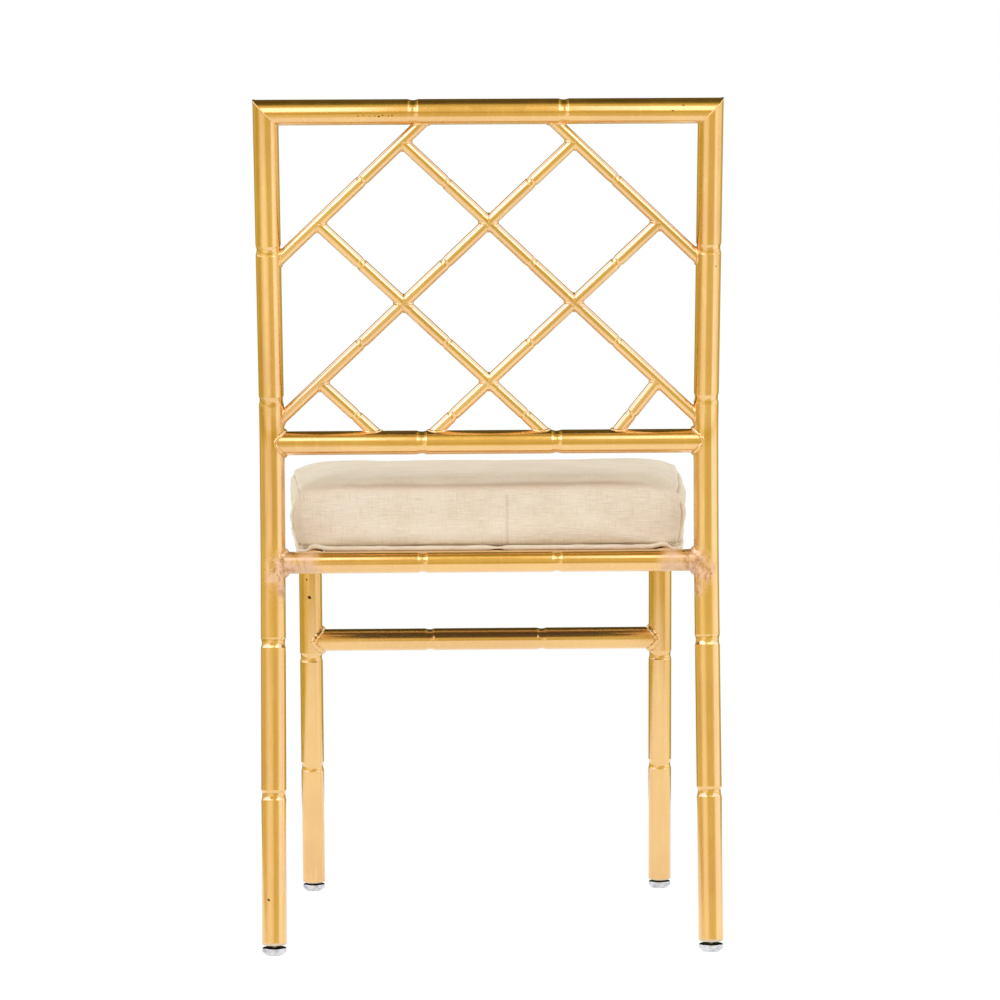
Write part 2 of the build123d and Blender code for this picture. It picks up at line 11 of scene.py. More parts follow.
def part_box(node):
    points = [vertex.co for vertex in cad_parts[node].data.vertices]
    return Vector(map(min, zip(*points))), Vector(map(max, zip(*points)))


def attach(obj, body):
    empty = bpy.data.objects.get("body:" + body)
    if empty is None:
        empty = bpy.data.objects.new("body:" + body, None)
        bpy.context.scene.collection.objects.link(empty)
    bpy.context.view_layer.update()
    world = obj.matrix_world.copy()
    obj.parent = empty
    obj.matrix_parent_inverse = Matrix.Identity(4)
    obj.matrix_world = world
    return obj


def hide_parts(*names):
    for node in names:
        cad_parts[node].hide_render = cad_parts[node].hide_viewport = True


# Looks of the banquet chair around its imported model: satin gold tubes with weld beads, plated feet and a
# linen seat cushion. Sizes are metres in the model's own frame; the chair faces -Y and stands on Z = 0.

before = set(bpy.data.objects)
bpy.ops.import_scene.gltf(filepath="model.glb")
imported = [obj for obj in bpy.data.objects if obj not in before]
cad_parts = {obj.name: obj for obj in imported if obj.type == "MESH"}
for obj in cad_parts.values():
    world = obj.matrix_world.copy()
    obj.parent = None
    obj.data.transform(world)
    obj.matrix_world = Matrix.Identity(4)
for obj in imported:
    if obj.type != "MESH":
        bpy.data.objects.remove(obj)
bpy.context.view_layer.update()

# Camera of the photograph, behind the chair
CAMERA_PLACE = (0.0533, 3.685, 0.6071)
CAMERA_LENS = 127.15
CAMERA_YAW = -1.0325
CAMERA_PITCH = 2.5535
CAMERA_ROLL = -0.3487

# Lattice of the back, as drawn in the model
BEND_ABOVE_RAIL = 0.0125
LATTICE_RADIUS = 0.006
LATTICE_SIDE_GAP = 0.0485
LATTICE_TOP_GAP = 0.0295
LATTICE_LOW_GAP = 0.0496
STEEP_STRUT_RUN = 0.048
FRONT_LEG_LEAN = 5.5
REAR_LEG_KICK = 6.6
STRETCHER_RADIUS = 0.012

# Tube ends above the feet
TUBE_END = 0.0115
BALL_HEIGHT = 0.0048
FLANGE = 0.001
LIP_LOW = 0.0101
LIP_THIN = 0.0001
LIP_RADIUS = 0.0117
LIP_TURNS = 40
LIP_RINGS = ((-0.2, 0.0005), (0.1, 0.0), (0.8, 0.0), (1.0, 0.0006))

# Weld beads
RAIL_BEAD = 0.0021
SEAT_BEAD = 0.0023
LATTICE_BEAD = 0.0013
MITRE_BEAD = 0.0007
BEAD_PITCH = 0.0026
BEAD_SECTION = 10
BEAD_RIPPLE = 0.12
BEAD_LIFT = 0.15
BEAD_LEAST_STEPS = 48
BEAD_LUMP_SCALE = 420
BEAD_STEP = 0.0009
MITRE_STEPS = 110
MITRE_SINK = 0.75
SLEEVE_HALF = 0.011
SLEEVE_RISE = 0.0005
SLEEVE_SINK = 0.0003
SLEEVE_RINGS = 8
SLEEVE_TURNS = 32

# Cushion, level in the seat's own frame whose origin is the axis of the rear seat rail
CUSHION_BOTTOM = 0.0115
CUSHION_EDGE = 0.062
CUSHION_REAR = -0.018
CUSHION_FRONT = -0.368
CUSHION_REAR_HALF = 0.198
CUSHION_FRONT_HALF = 0.218
CUSHION_CORNER = 0.016
CUSHION_DRAW = 0.001
CUSHION_START_INSET = 0.0015
CUSHION_VOXEL = 0.005
CUSHION_PRESSURE = 4.0
CUSHION_FRAMES = 20
CUSHION_CAP = 0.0035
CUSHION_START_EDGE = 0.0645
CUSHION_START_CROWN = 0.0042
CORNER_DROPS = {"rear_left": 0.007, "rear_right": 0.009, "front_right": 0.003, "front_left": 0.008}
CORNER_DROP_REACH = 0.042
SIDE_BULGES = {"left": 0.0008, "right": 0.0095}
BOTTOM_FLARES = {"left": 0.0015, "right": 0.0025}
CORNER_SWELLS = {"left": 0.0068, "right": 0.0025}
CORNER_SWELL_SPAN = (0.06, 0.89)
CORNER_SWELL_DEPTH = 0.14
EASE_STEPS = 3
SEAM_STEP = 0.001
SEAM_DEPTH = 0.02
SEAM_TURN = 2.4
# Place of the rear top roll, and the half width of the painted shade along it
ROLL_INSET = 0.012
ROLL_RISE = 0.005
ROLL_WIDTH = 0.0075
PUCKER_PITCH = 0.014
HEM_INSET = 0.008
HEM_TUCK = 0.0006
HEM_STEP = 0.003
HEM_HALF_HEIGHT = 0.0026
HEM_HALF_DEPTH = 0.0028
HEM_PINCH_REACH = 0.012
HEM_LEVEL = 0.012
HEM_LIFT = 0.0024
HEM_DROP = 0.0005
HEM_LIFT_REACH = 0.0072
HEM_FLANGE = 3.5
HEM_TURNS = 12
JOIN_X = -0.018
PINCH_X = -0.0085
EDGE_SAG = 0.006
CORNER_SAG = 0.0026

HEM_PINCHED = 0.45
HEM_NIP = 0.3
HEM_CLEAR = 0.0003
HEM_WAVE_SCALE = 60
HEM_WAVE = 0.15
HEM_WAVE_RISE = 0.0003
HEM_REAR_DEPTH = 0.03
OUTLINE_STEPS = 12
CORNER_TIGHTEN = 0.2
CORNER_LEAST = 0.004
START_LEVELS = (
    (0.0, 0.0095), (0.04, 0.0065), (0.14, 0.004), (0.4, 0.0015),
    (0.66, 0.0), (0.9, 0.0005), (0.97, 0.002), (1.0, 0.005),
)
START_TOP_SHARES = (0.1, 0.25, 0.5, 1.0)
START_TOP_DRAW = 0.12
REST_GAP = 0.0002
REAR_ROOM = 0.004
PIN_HEIGHT = 0.002
FLAT_BELOW = 0.004
CLOTH = {
    "use_pressure": True, "uniform_pressure_force": CUSHION_PRESSURE, "vertex_group_mass": "resting",
    "quality": 6, "mass": 0.25, "tension_stiffness": 12, "compression_stiffness": 12,
    "bending_stiffness": 0.4,
}

# Sewn marks: each a depth, or a strength of painted shade, and a half width, with the places of the lips
# beside a seam
SEAM_START = 0.003
SEAM_POINTS = 24
SIDE_SEAM_SHARES = (0.06, 0.94, 40)
JOIN_TOP = 0.86
JOIN_RAY_DEPTH = 0.06
SEAM_SINK = (0.0017, 0.0017)
SEAM_PUCKER = (0.0004, 0.009)
SEAM_LIP = (0.0009, 0.0028)
SEAM_LIP_PLACE = 0.005
JOIN_SINK = (0.0008, 0.0014)
JOIN_LIP = (0.0003, 0.0025)
JOIN_LIP_PLACE = 0.0045
# Painted shade in the seams and along the rear join, and a painted shadow just above the hem: strength and
# half width, then the shadow's rise above the hem
SEAM_SHADE = (0.75, 0.0012)
JOIN_SHADE = (0.4, 0.0009)
HEM_SHADOW = (0.7, 0.001)
HEM_SHADOW_RISE = 0.0006

# Loose cover: slow swells by depth and scale, then the corners' folds
SWELLS = ((0.0016, 11), (0.0005, 34))
FOLD = (0.0005, 0.05)
FOLD_COUNT = 12
FOLD_TWIST = 9

SIDES = {"left": 1, "right": -1}

# Touched-up weld places, from a post's axis and the rear seat rail: inward, rearward, up, reach and dirt
WELD_PATCHES = (
    (0.013, 0.009, -0.006, 0.022, 1.0),
    (0.0115, 0.007, -0.026, 0.016, 0.8),
    (0.003, 0.0125, -0.012, 0.014, 0.9),
    (0.034, 0.006, 0.0, 0.017, 0.15),
)

# Chips in the gold: place across and up, and reach
CHIPS = (
    (0.1936, 0.3294, 0.0022), (0.1958, 0.3491, 0.0012), (0.2222, 0.0556, 0.0016),
    (-0.1801, 0.8317, 0.0014), (-0.1901, 0.8367, 0.0009), (-0.2239, 0.6811, 0.001),
)

# Row of scratches on the top rail: where it starts, then place along it, rise and reach
SCRATCH_START = (0.094, 0.828)
SCRATCHES = (
    (0.0, 0.0002, 0.0007), (0.0034, -0.0003, 0.0009), (0.0091, 0.0004, 0.0006), (0.0128, -0.0005, 0.001),
    (0.0165, 0.0001, 0.0007), (0.0219, -0.0002, 0.0006), (0.0281, 0.0004, 0.0009), (0.0327, 0.0, 0.0006),
)

# Light, in degrees of bearing and height. Each soft box has a bearing to the camera's right, half widths,
# heights where it rises and falls, and a level.
ROOM_LEVEL = 0.72
SOFT_BOXES = (
    (80.0, 24.0, 40.0, (-75.0, -55.0), (0.0, 12.0), 0.62),
    (-42.0, 20.0, 36.0, (-75.0, -55.0), (0.0, 12.0), 0.25),
    (80.0, 34.0, 50.0, (8.0, 17.0), (44.0, 58.0), 0.85),
    (-80.0, 34.0, 50.0, (8.0, 17.0), (44.0, 58.0), 1.15),
)
LOW_BAND = 0.72
LOW_BAND_RISE = (-18.5, -13.0)
LOW_BAND_FALL = (-10.0, -3.0)
FAR_END = 0.6
FAR_END_BEARINGS = (124.0, 146.0)
FAR_SLOT = 0.16
FAR_SLOT_BEARINGS = (145.0, 165.0)
FAR_SLOT_HEIGHTS = (4.0, 18.0)
CEILING = 0.06
CEILING_HEIGHTS = (54.0, 76.0)
DIM_LEVELS = (0.5, 1.2)
BRIGHT_LEVELS = (1.2, 1.7)
WHITE = (1.0, 1.0, 1.0, 1.0)
DIM_TINT = (1.0, 0.82, 0.16, 1.0)
BRIGHT_TINT = (0.84, 0.92, 1.5, 1.0)
FLOOR_RADIUS = 1.0
FLOOR_COLOUR = (0.8, 0.8, 0.8, 1.0)
FLOOR_SHADOW = (0.22, 0.22, 0.22, 1.0)
FLOOR_GLOW = 0.86

# The panels beside the lens: inner and outer edges and distance, then low and high edges and levels
PANEL_INNER = 0.12
PANEL_OUTER = 1.15
PANEL_Y = 1.0
PANEL_COLOUR = (0.96, 0.94, 1.2)
PANELS = {
    "high": (0.88, 1.5, {"left": 1.7, "right": 1.4}),
    "low": (0.04, 0.42, {"left": 0.22, "right": 0.05}),
}


def middle(node):
    """The middle of a node's box, which for a straight tube lies on its axis."""
    low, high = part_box(node)
    return (Vector(low) + Vector(high)) / 2


def half_height(node):
    """Half of a node's height, which for a level tube is its radius."""
    low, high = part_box(node)
    return (high[2] - low[2]) / 2


def new_object(name, data):
    """A linked object for a mesh, a lamp or a camera."""
    made = bpy.data.objects.new(name, data)
    bpy.context.collection.objects.link(made)
    return made


def turns(count):
    """The angles of a circle's even steps."""
    return [2 * math.pi * step / count for step in range(count)]


def ramp(value, low, high):
    """A smooth rise from 0 at the low value to 1 at the high one."""
    share = min(max((value - low) / (high - low), 0.0), 1.0)
    return share * share * (3 - 2 * share)


def hump(distance, shape):
    """A smooth hump of a height and a half width."""
    height, width = shape
    return height * math.exp(-((distance / width) ** 2))


def bridge(builder, rings):
    """Joins each ring of points to the next by four-sided faces."""
    for first, second in zip(rings, rings[1:]):
        for step in range(len(first)):
            after = (step + 1) % len(first)
            builder.faces.new((first[step], first[after], second[after], second[step]))


class Look:
    """A node tree under construction, with short calls for the nodes that the looks use."""

    def __init__(self, tree):
        self.tree = tree

    def feed(self, socket, value):
        if isinstance(value, bpy.types.NodeSocket):
            self.tree.links.new(value, socket)
        else:
            socket.default_value = value

    def node(self, kind, inputs=None, **settings):
        made = self.tree.nodes.new(kind)
        for key, value in settings.items():
            setattr(made, key, value)
        for key, value in (inputs or {}).items():
            self.feed(made.inputs[key], value)
        return made

    def math(self, operation, *values):
        made = self.node("ShaderNodeMath", operation=operation)
        for socket, value in zip(made.inputs, values):
            self.feed(socket, value)
        return made.outputs[0]

    def vector_math(self, operation, *values):
        made = self.node("ShaderNodeVectorMath", operation=operation)
        for socket, value in zip(made.inputs, values):
            self.feed(socket, value)
        return made.outputs["Value"] if operation == "DISTANCE" else made.outputs[0]

    def times(self, first, second):
        return self.math("MULTIPLY", first, second)

    def plus(self, first, second):
        return self.math("ADD", first, second)

    def minus(self, first, second):
        return self.math("SUBTRACT", first, second)

    def most(self, first, second):
        return self.math("MAXIMUM", first, second)

    def coordinates(self, output="Object"):
        return self.node("ShaderNodeTexCoord").outputs[output]

    def split(self, vector):
        return self.node("ShaderNodeSeparateXYZ", {0: vector}).outputs

    def join(self, x, y, z):
        return self.node("ShaderNodeCombineXYZ", {0: x, 1: y, 2: z}).outputs[0]

    def scaled(self, vector, factors):
        return self.vector_math("MULTIPLY", vector, factors)

    def noise(self, vector, scale, detail=2.0, roughness=0.5):
        inputs = {"Vector": vector, "Scale": scale, "Detail": detail, "Roughness": roughness}
        return self.node("ShaderNodeTexNoise", inputs).outputs[0]

    def cells(self, vector, scale):
        return self.node("ShaderNodeTexVoronoi", {"Vector": vector, "Scale": scale}).outputs["Distance"]

    def span(self, value, low, high, to_low=0.0, to_high=1.0, kind="SMOOTHSTEP"):
        inputs = {"Value": value, "From Min": low, "From Max": high, "To Min": to_low, "To Max": to_high}
        return self.node("ShaderNodeMapRange", inputs, interpolation_type=kind).outputs[0]

    def mix(self, share, first, second):
        made = self.node("ShaderNodeMix", data_type="RGBA")
        self.feed(made.inputs[0], share)
        self.feed(made.inputs[6], first)
        self.feed(made.inputs[7], second)
        return made.outputs[2]

    def bump(self, height, strength, distance, normal=None):
        inputs = {"Height": height, "Strength": strength, "Distance": distance}
        if normal is not None:
            inputs["Normal"] = normal
        return self.node("ShaderNodeBump", inputs).outputs[0]


class Finish(Look):
    """A material whose surface is one principled shader."""

    def __init__(self, name):
        self.material = bpy.data.materials.new(name)
        self.material.use_nodes = True
        super().__init__(self.material.node_tree)
        self.shader = self.tree.nodes["Principled BSDF"]

    def set(self, **sockets):
        for key, value in sockets.items():
            self.feed(self.shader.inputs[key.replace("_", " ")], value)
        return self.material


def srgb(red, green, blue):
    """A colour written in 8-bit screen values, as the linear colour that a shader takes."""
    linear = []
    for value in (red, green, blue):
        part = value / 255
        linear.append(part / 12.92 if part <= 0.04045 else ((part + 0.055) / 1.055) ** 2.4)
    return (*linear, 1.0)


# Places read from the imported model
rear_rail = middle("rear_seat_rail")
front_rail = middle("front_seat_rail")
lower_rail = middle("lower_back_rail")
top_rail = middle("top_rail")
stretcher = middle("front_stretcher")
post_x = middle("rear_post_left").x
leg_x = middle("front_leg_left").x
side_rail_rear_x = post_x - 0.0415
post_radius = half_height("top_rail")
lower_radius = half_height("lower_back_rail")
seat_radius = half_height("rear_seat_rail")
seat_tilt = math.atan2(front_rail.z - rear_rail.z, rear_rail.y - front_rail.y)
bend = Vector((0, rear_rail.y, lower_rail.z + BEND_ABOVE_RAIL))
rake = math.atan2(top_rail.y - bend.y, top_rail.z - bend.z)
up_back = Vector((0, math.sin(rake), math.cos(rake)))
out_back = Vector((0, math.cos(rake), -math.sin(rake)))
top_up = (top_rail - bend).length
seat_place = Matrix.Translation(rear_rail) @ Matrix.Rotation(-seat_tilt, 4, "X")


def back_point(x, up):
    """A point in the raked plane of the back, up being measured from the bend."""
    return bend + Vector((x, 0, 0)) + up_back * up


# Materials

GOLD = srgb(238, 184, 80)
GOLD_DEEP = srgb(229, 171, 67)
GOLD_PALE = srgb(244, 203, 114)
TOUCH_UP = srgb(224, 182, 144)
TOUCH_UP_DARK = srgb(176, 116, 62)
SCORCH = srgb(76, 46, 20)


def gold_finish(name, patches=(), chips=(), rough=0.0, lacquer=2.4):
    """Satin gold coat with drifting tone, fine flake and orange peel; patches are touched-up weld places."""
    look = Finish(name)
    place = look.coordinates()
    drift = look.noise(place, 9.0, 3.0)
    flake = look.noise(place, 2600.0, 1.0)
    peel = look.noise(place, 420.0, 2.0)
    wipe = look.noise(look.scaled(place, (60.0, 60.0, 9.0)), 4.0, 3.0)
    colour = look.mix(look.span(drift, 0.35, 0.65), GOLD_DEEP, GOLD)
    colour = look.mix(look.span(wipe, 0.5, 0.85, 0.0, 0.5), colour, GOLD_PALE)
    colour = look.mix(look.span(flake, 0.45, 0.75, 0.0, 0.22), colour, GOLD_PALE)
    gloss = look.span(look.noise(place, 55.0, 4.0), 0.3, 0.7, 0.2 + rough, 0.27 + rough)
    normal = look.bump(peel, 0.03 + rough * 0.5, 0.0006)
    metal = 0.92
    coat = 1.0
    if patches:
        ragged = look.noise(place, 130.0, 4.0, 0.6)
        cover = dirty = 0.0
        for centre, reach, dirt in patches:
            distance = look.vector_math("DISTANCE", place, centre)
            torn = look.plus(distance, look.span(ragged, 0.3, 0.7, -0.22 * reach, 0.22 * reach, "LINEAR"))
            cover = look.most(cover, look.span(torn, 0.35 * reach, 1.2 * reach, 1.0, 0.0))
            soiled = look.span(torn, 0.6 * reach, 1.15 * reach, dirt, 0.0)
            dirty = look.most(dirty, soiled)
        smears = look.noise(look.scaled(place, (1.0, 1.0, 0.5)), 210.0, 3.0, 0.6)
        smears = look.times(look.span(smears, 0.42, 0.66), dirty)
        pits = look.span(look.noise(place, 330.0, 2.0), 0.66, 0.72)
        pits = look.times(pits, dirty)
        touched = look.mix(smears, TOUCH_UP, TOUCH_UP_DARK)
        colour = look.mix(look.times(cover, 0.85), colour, touched)
        colour = look.mix(look.times(pits, 0.8), colour, SCORCH)
        gloss = look.plus(gloss, look.times(cover, 0.2))
        lumps = look.times(look.noise(place, 260.0, 3.0), dirty)
        normal = look.bump(lumps, 0.55, 0.0012, normal)
        metal = look.minus(metal, look.times(cover, 0.7))
        coat = look.minus(coat, look.times(cover, 0.6))
    if chips:
        behind = look.math("GREATER_THAN", look.split(look.coordinates("Normal"))[1], 0.2)
        flat = look.scaled(place, (1.0, 0.0, 1.0))
        bare = 0.0
        for (x, z), reach in chips:
            distance = look.vector_math("DISTANCE", flat, (x, 0.0, z))
            torn = look.plus(distance, look.span(peel, 0.3, 0.7, -0.4 * reach, 0.4 * reach, "LINEAR"))
            bare = look.most(bare, look.span(torn, 0.6 * reach, reach, 1.0, 0.0))
        bare = look.times(bare, behind)
        colour = look.mix(bare, colour, SCORCH)
        coat = look.minus(coat, bare)
    look.set(Base_Color=colour, Metallic=metal, Roughness=gloss, Normal=normal)
    return look.set(Coat_Weight=coat, Coat_Roughness=0.14, Coat_IOR=lacquer)


def plated_finish():
    """Bright nickel plating with faint scuffs; its upward faces carry painted shade for the dark inside of
    the open cup.
    """
    look = Finish("plated_steel")
    place = look.coordinates()
    scuff = look.noise(look.scaled(place, (400.0, 400.0, 2600.0)), 1.0, 3.0)
    cloud = look.noise(place, 160.0, 3.0)
    colour = look.mix(look.span(cloud, 0.35, 0.7), srgb(222, 222, 223), srgb(180, 182, 187))
    gloss = look.span(scuff, 0.3, 0.75, 0.12, 0.26)
    normal = look.bump(scuff, 0.08, 0.0003)
    # Painted shade: faces that point up turn dark, standing for the shaded inside of the open cup.
    cup_shade = look.span(look.split(look.coordinates("Normal"))[2], 0.9, 0.98)
    colour = look.mix(cup_shade, colour, srgb(34, 32, 30))
    gloss = look.plus(gloss, look.times(cup_shade, 0.5))
    return look.set(Base_Color=colour, Metallic=1.0, Roughness=gloss, Normal=normal)


def zinc_finish():
    """Dull zinc plating with a spangled tone."""
    look = Finish("zinc_steel")
    place = look.coordinates()
    spangle = look.cells(place, 700.0)
    colour = look.mix(look.span(spangle, 0.1, 0.7), srgb(172, 174, 178), srgb(206, 208, 210))
    gloss = look.span(look.noise(place, 300.0), 0.3, 0.7, 0.32, 0.46)
    normal = look.bump(spangle, 0.1, 0.0003)
    return look.set(Base_Color=colour, Metallic=1.0, Roughness=gloss, Normal=normal)


def nylon_finish():
    """Moulded natural nylon with a fine grain."""
    look = Finish("nylon")
    place = look.coordinates()
    grain = look.noise(place, 1500.0, 2.0)
    colour = look.mix(look.noise(place, 80.0), srgb(232, 218, 188), srgb(214, 198, 164))
    gloss = look.span(grain, 0.3, 0.7, 0.42, 0.58)
    return look.set(Base_Color=colour, Roughness=gloss, Normal=look.bump(grain, 0.2, 0.0002))


def plywood_finish():
    """Birch plywood: long grain on its top, thin layers on its edges, and a dark brown on its downward
    faces.
    """
    look = Finish("plywood")
    place = look.coordinates()
    parts = look.split(place)
    tilt = {"Vector": place, "Center": tuple(rear_rail), "Angle": seat_tilt}
    turned = look.node("ShaderNodeVectorRotate", tilt, rotation_type="X_AXIS").outputs[0]
    level = look.split(turned)[2]
    facing = look.split(look.coordinates("Normal"))
    edge = look.span(look.math("ABSOLUTE", facing[2]), 0.5, 0.7, 1.0, 0.0)
    warp = look.noise(look.scaled(place, (14.0, 2.0, 30.0)), 1.0, 4.0)
    rings = look.math("SINE", look.times(look.plus(parts[0], look.times(warp, 0.05)), 620.0))
    fibre = look.noise(look.scaled(place, (2200.0, 60.0, 2200.0)), 1.0, 2.0)
    face = look.mix(look.span(rings, -1.0, 1.0, 0.0, 0.55), srgb(214, 178, 132), srgb(190, 148, 100))
    face = look.mix(look.span(fibre, 0.4, 0.75, 0.0, 0.4), face, srgb(164, 122, 80))
    layers = look.math("SINE", look.times(level, 2 * math.pi / 0.0026))
    side = look.mix(look.span(layers, -0.4, 0.4), srgb(206, 168, 120), srgb(140, 98, 60))
    side = look.mix(look.span(fibre, 0.4, 0.8, 0.0, 0.5), side, srgb(112, 78, 48))
    colour = look.mix(edge, face, side)
    # Faces that point downward are coloured dark brown.
    underside_dark = look.mix(look.span(fibre, 0.35, 0.75), srgb(62, 46, 33), srgb(44, 32, 23))
    colour = look.mix(look.span(facing[2], -0.7, -0.5, 1.0, 0.0), colour, underside_dark)
    gloss = look.span(fibre, 0.3, 0.7, 0.5, 0.66)
    return look.set(Base_Color=colour, Roughness=gloss, Normal=look.bump(fibre, 0.15, 0.0004))


def tape_finish(name, dark, light, pitch, depth):
    """Hook or loop tape: rows of tiny hooks, or a matted pile, on a woven ground."""
    look = Finish(name)
    place = look.coordinates()
    tufts = look.cells(place, 1.0 / pitch)
    fuzz = look.noise(place, 1800.0, 3.0)
    colour = look.mix(look.span(tufts, 0.15, 0.65), light, dark)
    colour = look.mix(look.span(fuzz, 0.4, 0.7, 0.0, 0.4), colour, light)
    height = look.minus(fuzz, tufts)
    normal = look.bump(height, 0.8, depth)
    look.set(Sheen_Weight=0.25, Sheen_Roughness=0.5)
    return look.set(Base_Color=colour, Roughness=0.9, Normal=normal)


LINEN = srgb(226, 211, 184)
LINEN_PALE = srgb(240, 229, 206)
LINEN_SHADE = srgb(204, 187, 157)
# Painted shade colour for the rear top roll
LINEN_ROLL_SHADE = srgb(178, 152, 118)
# Painted shade colour for the seams, the rear join and the painted shadow above the hem
LINEN_SEAM_SHADE = srgb(150, 122, 92)
LINEN_PITCH = 0.00085


def linen_finish():
    """Plain-woven slub linen; its threads follow each face of the cushion. Painted shade darkens it along
    the seams, the rear join, just above the hem and along the rear top roll.
    """
    look = Finish("linen")
    place = look.coordinates()
    x, y, z = look.split(place)
    facing = look.split(look.coordinates("Normal"))
    on_side = look.math("GREATER_THAN", look.math("ABSOLUTE", facing[0]), 0.62)
    on_front = look.math("LESS_THAN", y, front_rail.y + 0.01)
    fall = look.times(z, look.minus(look.times(on_front, 2.0), 1.0))
    along_top = look.plus(y, fall)
    off_side = look.minus(1.0, on_side)

    def on_face(top, side):
        return look.plus(look.times(top, off_side), look.times(side, on_side))

    across = on_face(x, y)
    along = on_face(along_top, z)
    cloth = look.join(across, along, 0.0)
    wander = look.span(look.noise(cloth, 90.0, 2.0), 0.0, 1.0, -2.6, 2.6, "LINEAR")
    turn = 2 * math.pi / LINEN_PITCH
    warp = look.math("SINE", look.plus(look.times(across, turn), wander))
    weft = look.math("SINE", look.plus(look.times(along, turn), wander))
    threads = look.most(warp, weft)
    slub_across = look.noise(look.scaled(cloth, (62.0, 900.0, 1.0)), 1.0, 2.0, 0.55)
    slub_along = look.noise(look.scaled(cloth, (900.0, 62.0, 1.0)), 1.0, 2.0, 0.55)
    mottle = look.noise(place, 26.0, 3.0)
    colour = look.mix(look.span(mottle, 0.3, 0.7), LINEN, look_mid(LINEN, LINEN_PALE))
    colour = look.mix(look.span(slub_across, 0.5, 0.7, 0.0, 0.8), colour, LINEN_PALE)
    colour = look.mix(look.span(slub_along, 0.52, 0.74, 0.0, 0.46), colour, LINEN_SHADE)
    colour = look.mix(look.span(slub_across, 0.28, 0.45, 0.42, 0.0), colour, LINEN_SHADE)
    colour = look.mix(look.span(threads, -0.6, 0.4, 0.25, 0.0), colour, LINEN_SHADE)
    # Painted shade: a darker band along the cushion's rear top roll, where the turned edge faces away from
    # the light.
    roll_shade = look.node("ShaderNodeAttribute", attribute_name="roll_shade").outputs["Fac"]
    colour = look.mix(look.times(roll_shade, 0.85), colour, LINEN_ROLL_SHADE)
    # Painted shade in the seams and along the rear join, and a painted shadow just above the hem.
    seam_shade_share = look.node("ShaderNodeAttribute", attribute_name="seam").outputs["Fac"]
    colour = look.mix(look.times(seam_shade_share, 0.75), colour, LINEN_SEAM_SHADE)
    height = look.plus(look.times(threads, 0.5), look.times(slub_across, 1.1))
    height = look.plus(height, look.times(slub_along, 0.9))
    normal = look.bump(height, 0.45, 0.00035)
    look.set(Sheen_Weight=0.12, Sheen_Roughness=0.45)
    gloss = look.span(threads, -1.0, 1.0, 0.92, 0.82)
    return look.set(Base_Color=colour, Roughness=gloss, Normal=normal, Specular_IOR_Level=0.25)


def look_mid(first, second):
    """The colour half-way between two."""
    return tuple((a + b) / 2 for a, b in zip(first, second))


def dress(node, material):
    """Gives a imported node's object one material."""
    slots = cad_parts[node].data.materials
    slots.clear()
    slots.append(material)


# Weld beads

def bead_mesh(builder, path, tube_out, carrier_out, radius, seed, flat_share, lumps, spread=1.25):
    """Adds a rippled bead along a closed path; the two lists give each tube's outward direction on the way.
    Where the tubes lie flush with each other, the bead keeps only a share of its radius."""
    rings = []
    travelled = 0.0
    for index, point in enumerate(path):
        before = path[index - 1]
        travelled += (point - before).length
        tangent = (path[(index + 1) % len(path)] - before).normalized()
        outward = (tube_out[index] + carrier_out[index]).normalized()
        outward = (outward - tangent * outward.dot(tangent)).normalized()
        sideways = tangent.cross(outward)
        ripple = 1 + BEAD_RIPPLE * math.sin(2 * math.pi * travelled / BEAD_PITCH)
        ripple += lumps * noise.noise(point * BEAD_LUMP_SCALE + Vector((seed, 0, 0)))
        steepness = math.sqrt(max(1 - tube_out[index].dot(carrier_out[index]) ** 2, 0.0))
        size = radius * ripple * (flat_share + (1 - flat_share) * steepness)
        centre = point + outward * size * BEAD_LIFT
        ring = []
        for angle in turns(BEAD_SECTION):
            place = centre + outward * size * math.cos(angle) + sideways * size * spread * math.sin(angle)
            ring.append(builder.verts.new(place))
        rings.append(ring)
    bridge(builder, rings + rings[:1])


def cope_bead(builder, start, direction, tube_radius, carrier, carrier_direction, carrier_radius, radius,
              seed, flat_share=0.45, lumps=0.28, spread=1.25):
    """Adds the bead where a tube that sets out from its carrier's axis comes out of the carrier."""
    direction = direction.normalized()
    axis = carrier_direction.normalized()
    side = direction.orthogonal().normalized()
    other = direction.cross(side)
    steps = max(BEAD_LEAST_STEPS, int(2 * math.pi * tube_radius / BEAD_STEP))
    path, tube_out, carrier_out = [], [], []
    for angle in turns(steps):
        outward = side * math.cos(angle) + other * math.sin(angle)
        rim = start + outward * tube_radius - carrier
        flat_rim = rim - axis * rim.dot(axis)
        flat_run = direction - axis * direction.dot(axis)
        a = flat_run.dot(flat_run)
        b = flat_rim.dot(flat_run)
        c = flat_rim.dot(flat_rim) - carrier_radius**2
        reach = (-b + math.sqrt(max(b * b - a * c, 0.0))) / a
        path.append(carrier + rim + direction * reach)
        tube_out.append(outward)
        carrier_out.append((flat_rim + flat_run * reach).normalized())
    bead_mesh(builder, path, tube_out, carrier_out, radius, seed, flat_share, lumps, spread)


def mitre_bead(builder, side, seed):
    """Adds the ground bead round a mitred top corner."""
    corner = back_point(side * post_x, top_up)
    across = Vector((side, 0, 0))
    diagonal = across + up_back
    path, outs = [], []
    for angle in turns(MITRE_STEPS):
        offset = out_back * math.cos(angle) * post_radius + diagonal * math.sin(angle) * post_radius
        path.append(corner + offset - offset.normalized() * MITRE_BEAD * MITRE_SINK)
        outs.append(offset.normalized())
    bead_mesh(builder, path, outs, outs, MITRE_BEAD, seed, 1.0, 0.28)


